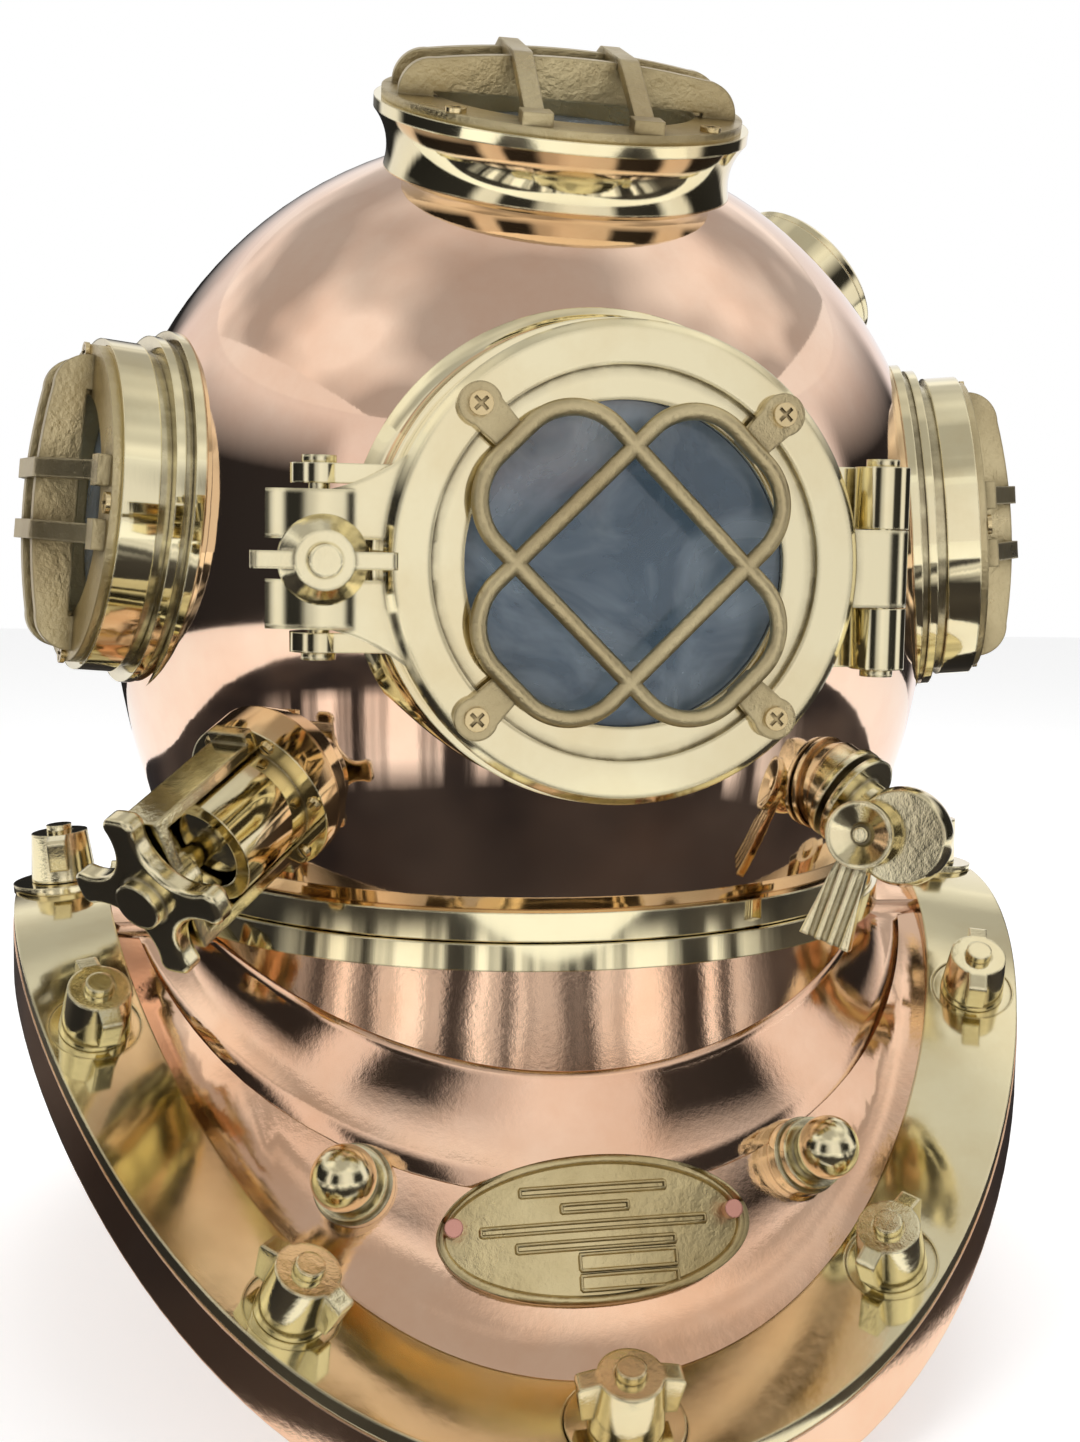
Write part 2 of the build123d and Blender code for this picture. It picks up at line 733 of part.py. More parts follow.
door_back = front_seat_face + gap
door_face = door_back + door_thickness
step_face = door_face - door_step_depth
lip_back = step_face - door_lip
bevel_radius = door_radius - door_bevel
door = turned(
    (door_recess_radius, door_back), (door_radius, door_back), (door_radius, door_face - door_bevel),
    (bevel_radius, door_face), (door_step_radius, door_face), (door_step_radius, step_face),
    (door_sight_radius, step_face), (door_sight_radius, lip_back),
    (door_recess_radius, lip_back),
)
door_lug = block(hinge_web_root, hinge_x, 0, hinge_knuckle_half, door_back, hinge_y + hinge_knuckle_radius)
door_lug += y_bar(hinge_knuckle_radius, hinge_x, hinge_y, 0, hinge_knuckle_half)
door += both_ways(door_lug)
door -= y_bar(hinge_pin_radius + pin_play, hinge_x, hinge_y, -tall, tall)
latch_fork = block(-latch_ear_end, -latch_fork_root, latch_slot_half, latch_ear_half, door_back, 2 * dome_radius)
latch_fork &= y_bar(latch_ear_reach, -latch_x, latch_y, 0, latch_ear_half)
door += both_ways(latch_fork)
flare_start = (-latch_flare_x, latch_flare_half)
flare_end = (-latch_flare_end, latch_ear_half)
flare = Polyline(flare_end, (-latch_flare_end, latch_slot_half), (-latch_flare_x, latch_slot_half), flare_start)
flare += ThreePointArc(flare_start, (-latch_flare_middle, latch_flare_waist), flare_end)
door += both_ways(Pos(0, 0, door_back) * extrude(make_face(flare), door_thickness - door_bevel))
door -= drum(door_recess_radius, 0, lip_back)
screw_turns = [45 + 90 * i for i in range(4)]
screw_bars = [Rot(0, 0, t) * Pos(guard_screw_circle, 0, 0) for t in screw_turns]
screw_foot = door_face + guard_ear_height - screw_length
for bar in screw_bars:
    door -= bar * drum(screw_radius, screw_foot, door_face + overrun)
save("faceplate_ring", front_frame * door)
glass_face = lip_back - glass_gasket_depth
glass = drum(door_glass_radius, glass_face - door_glass_thickness, glass_face)
save("faceplate_glass", front_frame * glass)
save("faceplate_glass_gasket", front_frame * ring(door_sight_radius, door_glass_radius, glass_face, lip_back))

ear_top = door_face + guard_ear_height
bar_height = door_face + hoop_lift + hoop_bar / 2
hoop_path = RectangleRounded(2 * hoop_half_length, 2 * hoop_half_width, hoop_corner).wires()[0]
hoop_section = Plane(origin=hoop_path @ 0, z_dir=hoop_path % 0) * Circle(hoop_bar / 2)
hoop = Pos(0, 0, bar_height) * sweep(hoop_section, path=hoop_path)
guard = Rot(0, 0, 45) * hoop
guard += Rot(0, 0, -45) * hoop
tongue_length = guard_screw_circle - guard_tongue_root
tongue = make_face(Polyline(
    (-tongue_length, -guard_tongue_root_half), (0, -guard_tongue_half), (0, guard_tongue_half),
    (-tongue_length, guard_tongue_root_half), close=True,
))
ear = Pos(0, 0, door_face) * extrude(tongue, guard_ear_height) + drum(guard_ear_radius, door_face, ear_top)
for bar in screw_bars:
    guard += bar * ear
for bar in screw_bars:
    guard -= bar * drum(screw_radius, screw_foot, ear_top + overrun)
    guard -= bar * drum(screw_head_radius, ear_top, ear_top + overrun)
save("faceplate_guard", front_frame * guard)


def screw(face, length):
    """A cheese-head screw with a cross in its head, its head standing on face."""
    body = drum(screw_radius, face - length, face) + drum(screw_head_radius, face, face + screw_head_height)
    arm_length = screw_head_radius * cross_share
    slot = block(-arm_length, arm_length, -cross_width / 2, cross_width / 2, face, face + tall)
    slot += Rot(0, 0, 90) * slot
    return body - Pos(0, 0, cross_floor) * slot


guard_screws = [front_frame * bar * screw(ear_top, screw_length) for bar in screw_bars]
save("faceplate_guard_screws", Compound(guard_screws))

swing_bolt = y_bar(bolt_eye_radius, 0, 0, -bolt_eye_half, bolt_eye_half) + drum(bolt_radius, 0, bolt_length)
swing_bolt -= y_bar(latch_pin_radius + pin_play, 0, 0, -tall, tall)
latch_frame = front_frame * Pos(-latch_x, 0, latch_y)
save("swing_bolt", latch_frame * swing_bolt)
washer_foot = latch_ear_reach + gap
washer_top = washer_foot + latch_washer_thickness
save("latch_washer", latch_frame * ring(bolt_radius + pin_play, latch_washer_radius, washer_foot, washer_top))
latch_nut = turned(
    (0, 0), (latch_nut_radius, 0), (latch_nut_top_radius, latch_nut_height), (0, latch_nut_height),
)
latch_wing = block(
    -latch_wing_reach, latch_wing_reach, -latch_wing_thickness / 2, latch_wing_thickness / 2,
    latch_wing_foot, latch_wing_height,
)
latch_nut += fillet(latch_wing.edges().filter_by(Axis.Y), latch_wing_foot)
latch_nut -= drum(bolt_radius + pin_play, -overrun, tall)
save("latch_nut", latch_frame * Pos(0, 0, washer_top + gap) * latch_nut)


# Side and top ports
def port_glass(bore, face):
    """The glass, its gasket and the pocket that holds them under a guard."""
    glass_top = face - port_glass_depth
    glass_foot = glass_top - port_glass_thickness
    pocket_radius = bore + port_glass_lip
    pane = drum(pocket_radius - gap, glass_foot, glass_top)
    seal = ring(bore, pocket_radius - gap, glass_foot - port_gasket_thickness, glass_foot)
    pocket = drum(pocket_radius, glass_foot - port_gasket_thickness, 2 * dome_radius)
    return pane, seal, pocket


def grate(radius, bore, face, rib_spacing, strap_spacing):
    """A guard: a flat ring with a spigot onto the glass, two deep ribs along Y and two straps along X."""
    rim = radius - grate_ring_inset
    top = face + grate_ring_thickness
    body = ring(rim - grate_ring_width, rim, face, top)
    body += ring(bore + gap, bore + port_glass_lip - gap, face - port_glass_depth, face + gap)
    half = rim - grate_rib_end_inset
    crest = top + grate_rib_height
    shoulder = (half - grate_rib_slope, crest - grate_rib_arch)
    cheek = (half - grate_rib_cheek, top + grate_rib_cheek_height)
    outline = Line((-half, top), (half, top)) + ThreePointArc((half, top), cheek, shoulder)
    outline += ThreePointArc((-shoulder[0], shoulder[1]), (0, crest), shoulder)
    outline += ThreePointArc((-half, top), (-cheek[0], cheek[1]), (-shoulder[0], shoulder[1]))
    rib = extrude(Plane.YZ * make_face(outline), grate_rib_thickness / 2, both=True)
    slit = half - grate_rib_slope
    rib -= block(-overrun, overrun, -slit, slit, top - overrun, top + grate_slit_height)
    body += Pos(rib_spacing, 0, 0) * rib
    body += Pos(-rib_spacing, 0, 0) * rib
    strap_top = top + grate_strap_height
    high = rib_spacing + grate_strap_reach
    outer = make_face(Polyline((-half, top), (half, top), (high, strap_top), (-high, strap_top), close=True))
    outer = fillet(outer.vertices().group_by(Axis.Y)[-1], grate_strap_corner)
    slant = half - high
    leg_width = grate_strap_thickness * sqrt(slant ** 2 + grate_strap_height ** 2) / grate_strap_height
    under = strap_top - grate_strap_thickness
    foot_in = half - leg_width
    high_in = foot_in - slant * (under - top) / grate_strap_height
    inner = make_face(Polyline((-foot_in, top), (foot_in, top), (high_in, under), (-high_in, under), close=True))
    inner = fillet(inner.vertices().group_by(Axis.Y)[-1], grate_strap_corner - grate_strap_thickness)
    strap_bar = extrude(Plane.XZ * (outer - inner), grate_strap_width / 2, both=True)
    foot_half = grate_strap_width / 2 + grate_foot_spread
    foot = block(half - grate_foot_length, half, -foot_half, foot_half, top - gap, top + grate_foot_height)
    strap_bar += foot
    strap_bar += mirror(foot, Plane.YZ)
    body += Pos(0, strap_spacing, 0) * strap_bar
    body += Pos(0, -strap_spacing, 0) * strap_bar
    return body


def screw_places(radius, turn):
    """Where the four screws of a port's guard stand."""
    circle = radius - grate_ring_inset - grate_screw_inset
    return [Rot(0, 0, turn + 90 * i) * Pos(circle, 0, 0) for i in range(4)]


def drilled(shape, places, face):
    """A shape with the screws' holes in it."""
    for place in places:
        shape -= place * drum(screw_radius, face + grate_ring_thickness - screw_length, face + overrun)
    return shape


band_radius = side_port_radius - side_band_inset
groove_radius = side_port_radius - side_groove_inset
bead_radius = side_port_radius + side_bead_proud
flange_radius = side_port_radius + port_flange_proud
band_foot = side_port_face - side_band_depth
bead_top = band_foot - side_groove_depth
bead_foot = bead_top - side_bead_depth
lower_foot = bead_foot - side_lower_depth
side_body = turned(
    (side_port_bore, half_dome), (flange_radius, half_dome), (flange_radius, lower_foot),
    (side_port_radius, lower_foot), (side_port_radius, bead_foot), (bead_radius, bead_foot),
    (bead_radius, bead_top), (groove_radius, bead_top), (groove_radius, band_foot),
    (band_radius, band_foot), (band_radius, side_port_face), (side_port_bore, side_port_face),
)
side_pane, side_seal, side_pocket = port_glass(side_port_bore, side_port_face)
side_places = screw_places(band_radius, 0)
side_body = drilled(side_body - side_pocket, side_places, side_port_face)
side_guard = drilled(grate(band_radius, side_port_bore, side_port_face, side_rib_spacing, side_strap_spacing), side_places, side_port_face)
left_port = side_frame * side_body - dome_solid
save("port_left", left_port)
save("port_right", mirror(left_port, Plane.YZ))
save("port_left_glass", side_frame * side_pane)
save("port_right_glass", mirror(side_frame * side_pane, Plane.YZ))
save("port_left_guard", side_frame * side_guard)
save("port_right_guard", mirror(side_frame * side_guard, Plane.YZ))

rim_foot = top_port_face - top_rim_depth
waist_foot = rim_foot - top_waist_depth
waist_radius = top_port_radius - top_waist_inset
flange_radius = top_port_radius + port_flange_proud / 2
outline = Polyline(
    (top_port_radius, 0, waist_foot), (flange_radius, 0, waist_foot), (flange_radius, 0, half_dome),
    (top_port_bore, 0, half_dome), (top_port_bore, 0, top_port_face), (top_port_radius, 0, top_port_face),
    (top_port_radius, 0, rim_foot),
)
waist_middle = (waist_radius, 0, (rim_foot + waist_foot) / 2)
outline += ThreePointArc((top_port_radius, 0, rim_foot), waist_middle, (top_port_radius, 0, waist_foot))
top_body = revolve(make_face(outline), Axis.Z)
top_pane, top_seal, top_pocket = port_glass(top_port_bore, top_port_face)
top_places = screw_places(top_port_radius, 45)
top_body = drilled(top_body - top_pocket, top_places, top_port_face)
top_guard = Rot(0, 0, 90) * grate(top_port_radius, top_port_bore, top_port_face, top_rib_spacing, top_strap_spacing)
top_guard = drilled(top_guard, top_places, top_port_face)
save("port_top", top_frame * top_body - dome_solid)
save("port_top_glass", top_frame * top_pane)
save("port_top_guard", top_frame * top_guard)
left_seal = side_frame * side_seal
save("port_gaskets", Compound([left_seal, mirror(left_seal, Plane.YZ), top_frame * top_seal]))
left_screws = [side_frame * p * screw(side_port_face + grate_ring_thickness, screw_length) for p in side_places]
right_screws = [mirror(s, Plane.YZ) for s in left_screws]
top_screws = [top_frame * p * screw(top_port_face + grate_ring_thickness, screw_length) for p in top_places]
save("port_guard_screws", Compound(left_screws + right_screws + top_screws))


# Telephone cup
cup_bore = cup_base_radius - cup_wall
cup = turned(
    (0, half_dome), (cup_base_radius, half_dome), (cup_base_radius, cup_face - cup_step),
    (cup_radius, cup_face - cup_step), (cup_radius, cup_face), (cup_bore, cup_face),
    (cup_bore, cup_floor_height), (0, cup_floor_height),
)
cup -= drum(cup_wire_hole, half_dome, tall)
save("telephone_cup", cup_frame * cup - dome_solid)
lid_top = cup_face + cup_lid_thickness
lid = turned(
    (0, cup_face), (cup_radius, cup_face), (cup_radius, lid_top - cup_lid_bevel),
    (cup_radius - cup_lid_bevel, lid_top), (0, lid_top),
)
save("telephone_lid", cup_frame * lid)


# Rear elbows
def elbow(frame, bore, tube):
    """A flanged elbow that turns down and outwards and ends in a male thread below its collar."""
    down = cos(radians(elbow_lean_degrees))
    out = sin(radians(elbow_lean_degrees))
    path = FilletPolyline(
        (0, 0, half_dome), (0, 0, elbow_reach), (0, -elbow_drop * down, elbow_reach + elbow_drop * out), radius=elbow_bend,
    )
    start = Plane(origin=path @ 0, z_dir=path % 0)
    body = sweep(start * Circle(tube), path=path)
    body += drum(elbow_flange_radius, half_dome, elbow_flange_face)
    collar_foot = (0, -elbow_collar_drop * down, elbow_reach + elbow_collar_drop * out)
    neck = Plane(origin=collar_foot, x_dir=(1, 0, 0), z_dir=(0, -down, out))
    body += neck * drum(tube + elbow_collar, 0, elbow_collar_depth)
    body -= sweep(start * Circle(bore), path=path)
    return frame * body - dome_solid


save("air_elbow", elbow(air_frame, air_bore, air_tube))
save("phone_elbow", elbow(phone_frame, phone_bore, phone_tube))


# Regulating exhaust valve and its chin button
valve = turned(
    (exhaust_seat_bore, half_dome), (exhaust_flange_radius, half_dome), (exhaust_flange_radius, exhaust_flange_face),
    (exhaust_body_radius, exhaust_flange_face), (exhaust_body_radius, exhaust_body_face),
    (exhaust_bore, exhaust_body_face), (exhaust_bore, exhaust_seat_face), (exhaust_seat_bore, exhaust_seat_face),
)
spoke_foot = exhaust_seat_face - exhaust_spoke_depth
spoke_half = exhaust_spoke_width / 2
spoke = block(0, exhaust_seat_bore + gap, -spoke_half, spoke_half, spoke_foot, exhaust_seat_face)
guide = drum(exhaust_guide_radius, spoke_foot, exhaust_seat_face)
for arm in polar(spoke, exhaust_spoke_count):
    guide += arm
guide -= drum(chin_stem_radius + pin_play, 0, tall)
save("exhaust_body", exhaust_frame * (valve + guide) - dome_solid)

yoke_half = exhaust_yoke_width / 2
yoke_inner = exhaust_body_radius + gap
yoke_outer = yoke_inner + exhaust_yoke_thickness
yoke_under = exhaust_yoke_face - exhaust_yoke_thickness
yoke = block(-yoke_half, yoke_half, yoke_inner, yoke_outer, exhaust_flange_face, exhaust_yoke_face)
yoke += block(-yoke_half, yoke_half, 0, yoke_outer, yoke_under, exhaust_yoke_face)
lip_outer = exhaust_flange_radius
lip_top = exhaust_flange_face + exhaust_yoke_lip
yoke += block(-yoke_half, yoke_half, yoke_inner, lip_outer, exhaust_flange_face, lip_top)
yoke = both_ways(yoke) + drum(exhaust_yoke_boss_radius, yoke_under - exhaust_yoke_lip, exhaust_yoke_face)
yoke -= drum(exhaust_stem_radius + pin_play, 0, tall)
save("exhaust_yoke", exhaust_frame * yoke)

handle_top = exhaust_handle_foot + exhaust_handle_thickness
handle = drum(exhaust_handle_radius, exhaust_handle_foot, handle_top)
bite = Pos(exhaust_handle_bite_circle, 0, 0) * drum(exhaust_handle_bite_radius, 0, tall)
for cutter in polar(bite, 4):
    handle -= Rot(0, 0, 45) * cutter
handle = fillet(handle.edges().filter_by(Axis.Z), exhaust_lobe_fillet)
handle = fillet(handle.edges().group_by(Axis.Z)[-1] + handle.edges().group_by(Axis.Z)[0], exhaust_edge_fillet)
handle += drum(exhaust_hub_radius, exhaust_handle_foot, handle_top + exhaust_hub_depth)
handle += drum(exhaust_stem_radius, exhaust_stem_foot, handle_top)
handle += drum(exhaust_carrier_radius, exhaust_stem_foot, exhaust_stem_foot + exhaust_carrier_depth)
save("exhaust_handle", exhaust_frame * handle)

chin_disc_foot = exhaust_seat_face + gap
chin_disc_top = chin_disc_foot + chin_disc_thickness
button = drum(chin_button_radius, chin_button_foot, chin_button_foot + chin_button_thickness)
button += drum(chin_stem_radius, chin_button_foot, chin_disc_top)
button += drum(chin_disc_radius, chin_disc_foot, chin_disc_top)
save("chin_button", exhaust_frame * button)


# Spitcock
cock = drum(spit_base_radius, half_dome, spit_base_face)
cock += drum(spit_ring_radius, spit_base_face, spit_base_face + spit_ring_depth)
second_ring = spit_base_face + 2 * spit_ring_depth
cock += drum(spit_ring_radius, second_ring, second_ring + spit_ring_depth)
ball = drum(spit_neck_radius, spit_base_face, spit_ball_height)
ball += Pos(0, 0, spit_ball_height) * Sphere(spit_ball_radius)
dial_frame = dome_frame(dial_azimuth, dial_elevation)
dial_frame.origin = (dial_x, -dial_y, dial_z)
dial_back = -dial_depth
plug_end = dial_back - plug_length
ball = spit_frame * ball - dial_frame * drum(tall, dial_back - gap, tall)
cock = spit_frame * cock + ball
cock -= dial_frame * drum(plug_radius + pin_play, plug_end - gap, tall)
cock -= spit_frame * drum(spit_bore, 0, spit_ball_height - spit_neck_radius)
save("spitcock_body", cock - dome_solid)

dial = turned(
    (0, plug_end), (plug_radius, plug_end), (plug_radius, dial_back), (dial_neck_radius, dial_back),
    (dial_radius, -dial_rim), (dial_radius, 0), (dial_radius - dial_rim_width, 0),
    (dial_dish_radius, -dial_dish_depth), (dial_dish_radius, dial_stud_proud - dial_dish_depth),
    (0, dial_stud_proud - dial_dish_depth),
)
fan = make_face(Polyline(
    (-spit_lever_root, 0), (spit_lever_root, 0), (spit_lever_tip, -spit_lever_length),
    (-spit_lever_tip, -spit_lever_length), close=True,
))
lever_top = dial_back + spit_lever_thickness
lever = Pos(0, 0, dial_back) * extrude(fan, spit_lever_thickness)
for place in (-1, 0, 1):
    flute = Plane(origin=(place * spit_flute_spacing, 0, lever_top), z_dir=(0, -1, 0))
    lever -= flute * drum(spit_flute_radius, dial_radius, tall)
save("spitcock_handle", dial_frame * (dial + Rot(0, 0, -spit_lever_lean) * lever))
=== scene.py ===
import json
from math import cos, pi, radians, sin

import bmesh
import bpy
from mathutils import Matrix, Vector
from mathutils.bvhtree import BVHTree


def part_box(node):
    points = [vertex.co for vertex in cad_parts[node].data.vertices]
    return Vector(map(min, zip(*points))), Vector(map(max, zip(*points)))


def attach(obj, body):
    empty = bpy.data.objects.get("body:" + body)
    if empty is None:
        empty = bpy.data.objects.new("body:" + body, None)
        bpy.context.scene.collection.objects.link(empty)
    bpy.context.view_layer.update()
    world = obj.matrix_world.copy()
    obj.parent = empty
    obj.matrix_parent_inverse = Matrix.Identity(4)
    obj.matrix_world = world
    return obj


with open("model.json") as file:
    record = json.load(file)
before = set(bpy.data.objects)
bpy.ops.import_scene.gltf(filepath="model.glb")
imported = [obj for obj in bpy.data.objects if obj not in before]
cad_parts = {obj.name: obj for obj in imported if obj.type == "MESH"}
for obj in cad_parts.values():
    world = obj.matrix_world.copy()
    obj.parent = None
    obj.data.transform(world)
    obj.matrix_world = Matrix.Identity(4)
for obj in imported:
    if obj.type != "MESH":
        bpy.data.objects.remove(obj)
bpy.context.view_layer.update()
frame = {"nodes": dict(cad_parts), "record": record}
nodes = frame["nodes"]
scene = bpy.context.scene
scene.view_settings.view_transform = "Standard"


# Shader building blocks

def shader_tree(name):
    """A material with an empty tree but for its output and a Principled shader."""
    material = bpy.data.materials.new(name)
    material.use_nodes = True
    tree = material.node_tree
    tree.nodes.clear()
    shader = tree.nodes.new("ShaderNodeBsdfPrincipled")
    out = tree.nodes.new("ShaderNodeOutputMaterial")
    tree.links.new(shader.outputs["BSDF"], out.inputs["Surface"])
    return material, tree, shader


def effect_group(name, inputs, outputs):
    """An empty node group with named sockets, its input node and its output node."""
    group = bpy.data.node_groups.new(name, "ShaderNodeTree")
    for label, kind, value in inputs:
        socket = group.interface.new_socket(label, in_out="INPUT", socket_type=kind)
        if value is not None:
            socket.default_value = value
    for label, kind in outputs:
        group.interface.new_socket(label, in_out="OUTPUT", socket_type=kind)
    return group, group.nodes.new("NodeGroupInput"), group.nodes.new("NodeGroupOutput")


def noise(tree, vector, scale, detail, rough=0.5, distortion=0.0):
    """A noise texture on the given coordinates."""
    node = tree.nodes.new("ShaderNodeTexNoise")
    tree.links.new(vector, node.inputs["Vector"])
    node.inputs["Scale"].default_value = scale
    node.inputs["Detail"].default_value = detail
    node.inputs["Roughness"].default_value = rough
    node.inputs["Distortion"].default_value = distortion
    return node.outputs["Fac"]


def remap(tree, value, low, high, to_low, to_high):
    """A value moved from one range to another, kept inside it."""
    node = tree.nodes.new("ShaderNodeMapRange")
    tree.links.new(value, node.inputs["Value"])
    for label, number in (("From Min", low), ("From Max", high), ("To Min", to_low), ("To Max", to_high)):
        if isinstance(number, (int, float)):
            node.inputs[label].default_value = number
        else:
            tree.links.new(number, node.inputs[label])
    return node.outputs["Result"]


def arithmetic(tree, how, first, second):
    """One Math node."""
    node = tree.nodes.new("ShaderNodeMath")
    node.operation = how
    for socket, value in zip(node.inputs, (first, second)):
        if isinstance(value, (int, float)):
            socket.default_value = value
        else:
            tree.links.new(value, socket)
    return node.outputs[0]


def mixed(tree, factor, first, second):
    """Two colours mixed by a factor."""
    node = tree.nodes.new("ShaderNodeMix")
    node.data_type = "RGBA"
    tree.links.new(factor, node.inputs["Factor"])
    for socket, value in ((node.inputs[6], first), (node.inputs[7], second)):
        if isinstance(value, tuple):
            socket.default_value = value
        else:
            tree.links.new(value, socket)
    return node.outputs[2]


def placed(tree, group, **values):
    """A node group placed in a tree with its own values."""
    node = tree.nodes.new("ShaderNodeGroup")
    node.node_tree = group
    for label, value in values.items():
        node.inputs[label.replace("_", " ")].default_value = value
    return node


# Polish: fine scratches from the cloth and slow waves left by spinning or filing
polish, entry, leave = effect_group(
    "metal polish",
    [("Scratch scale", "NodeSocketFloat", 300.0), ("Wave scale", "NodeSocketFloat", 14.0),
     ("Rough low", "NodeSocketFloat", 0.04), ("Rough high", "NodeSocketFloat", 0.14)],
    [("Roughness", "NodeSocketFloat"), ("Scratches", "NodeSocketFloat"), ("Waves", "NodeSocketFloat")],
)
where = polish.nodes.new("ShaderNodeTexCoord").outputs["Object"]
stretch = polish.nodes.new("ShaderNodeMapping")
stretch.inputs["Scale"].default_value = (1.0, 1.0, 0.06)
stretch.inputs["Rotation"].default_value = (0.4, 0.3, 0.0)
polish.links.new(where, stretch.inputs["Vector"])
hairs = polish.nodes.new("ShaderNodeTexNoise")
hairs.inputs["Detail"].default_value = 3.0
polish.links.new(stretch.outputs["Vector"], hairs.inputs["Vector"])
polish.links.new(entry.outputs["Scratch scale"], hairs.inputs["Scale"])
swell = polish.nodes.new("ShaderNodeTexNoise")
swell.inputs["Detail"].default_value = 1.0
polish.links.new(where, swell.inputs["Vector"])
polish.links.new(entry.outputs["Wave scale"], swell.inputs["Scale"])
blotches = noise(polish, where, 22.0, 5.0, 0.6)
rough = remap(polish, blotches, 0.35, 0.7, entry.outputs["Rough low"], entry.outputs["Rough high"])
polish.links.new(rough, leave.inputs["Roughness"])
polish.links.new(hairs.outputs["Fac"], leave.inputs["Scratches"])
polish.links.new(swell.outputs["Fac"], leave.inputs["Waves"])

# Patina: brown-gold clouds on the metal, and what stays dark in its corners
patina, entry, leave = effect_group(
    "metal patina",
    [("Clean", "NodeSocketColor", (0.8, 0.6, 0.3, 1.0)), ("Toned", "NodeSocketColor", (0.7, 0.45, 0.2, 1.0)),
     ("Deep", "NodeSocketColor", (0.2, 0.12, 0.05, 1.0)), ("Corner reach", "NodeSocketFloat", 0.004),
     ("Cloud scale", "NodeSocketFloat", 16.0)],
    [("Color", "NodeSocketColor"), ("Corners", "NodeSocketFloat")],
)
where = patina.nodes.new("ShaderNodeTexCoord").outputs["Object"]
cloud = patina.nodes.new("ShaderNodeTexNoise")
cloud.inputs["Detail"].default_value = 6.0
cloud.inputs["Roughness"].default_value = 0.6
patina.links.new(where, cloud.inputs["Vector"])
patina.links.new(entry.outputs["Cloud scale"], cloud.inputs["Scale"])
cloudy = remap(patina, cloud.outputs["Fac"], 0.42, 0.72, 0.0, 1.0)
toned = mixed(patina, cloudy, entry.outputs["Clean"], entry.outputs["Toned"])
hollow = patina.nodes.new("ShaderNodeAmbientOcclusion")
hollow.samples = 4
hollow.only_local = True
patina.links.new(entry.outputs["Corner reach"], hollow.inputs["Distance"])
corners = remap(patina, hollow.outputs["AO"], 0.35, 0.9, 1.0, 0.0)
specks = remap(patina, noise(patina, where, 160.0, 4.0), 0.3, 0.6, 0.5, 1.0)
grime = arithmetic(patina, "MULTIPLY", corners, specks)
patina.links.new(mixed(patina, grime, toned, entry.outputs["Deep"]), leave.inputs["Color"])
patina.links.new(corners, leave.inputs["Corners"])


scratch_strength, corner_roughness = 0.03, 0.3
wave_depth, scratch_depth, cast_depth = 0.004, 0.0004, 0.0012


def metal(name, clean, toned, deep, rough_low, rough_high, edge=0.0008, wave=0.15,
          wave_scale=14.0, cast=0.0, cast_scale=260.0, reach=0.004):
    """A polished or cast metal: its colours, its shine, its rounded edges and the marks on it."""
    material, tree, shader = shader_tree(name)
    shader.inputs["Metallic"].default_value = 1.0
    tone = placed(tree, patina, Clean=(*clean, 1), Toned=(*toned, 1), Deep=(*deep, 1), Corner_reach=reach)
    shine = placed(tree, polish, Rough_low=rough_low, Rough_high=rough_high, Wave_scale=wave_scale)
    tree.links.new(tone.outputs["Color"], shader.inputs["Base Color"])
    dull = arithmetic(tree, "MULTIPLY", tone.outputs["Corners"], corner_roughness)
    tree.links.new(arithmetic(tree, "ADD", shine.outputs["Roughness"], dull), shader.inputs["Roughness"])
    rounding = tree.nodes.new("ShaderNodeBevel")
    rounding.samples = 4
    rounding.inputs["Radius"].default_value = edge
    last = rounding.outputs["Normal"]
    layers = [(shine.outputs["Waves"], wave, wave_depth),
              (shine.outputs["Scratches"], scratch_strength, scratch_depth)]
    if cast:
        where = tree.nodes.new("ShaderNodeTexCoord").outputs["Object"]
        layers.append((noise(tree, where, cast_scale, 5.0, 0.65), cast, cast_depth))
    for height, strength, distance in layers:
        bump = tree.nodes.new("ShaderNodeBump")
        bump.inputs["Strength"].default_value = strength
        bump.inputs["Distance"].default_value = distance
        tree.links.new(height, bump.inputs["Height"])
        tree.links.new(last, bump.inputs["Normal"])
        last = bump.outputs["Normal"]
    tree.links.new(last, shader.inputs["Normal"])
    return material


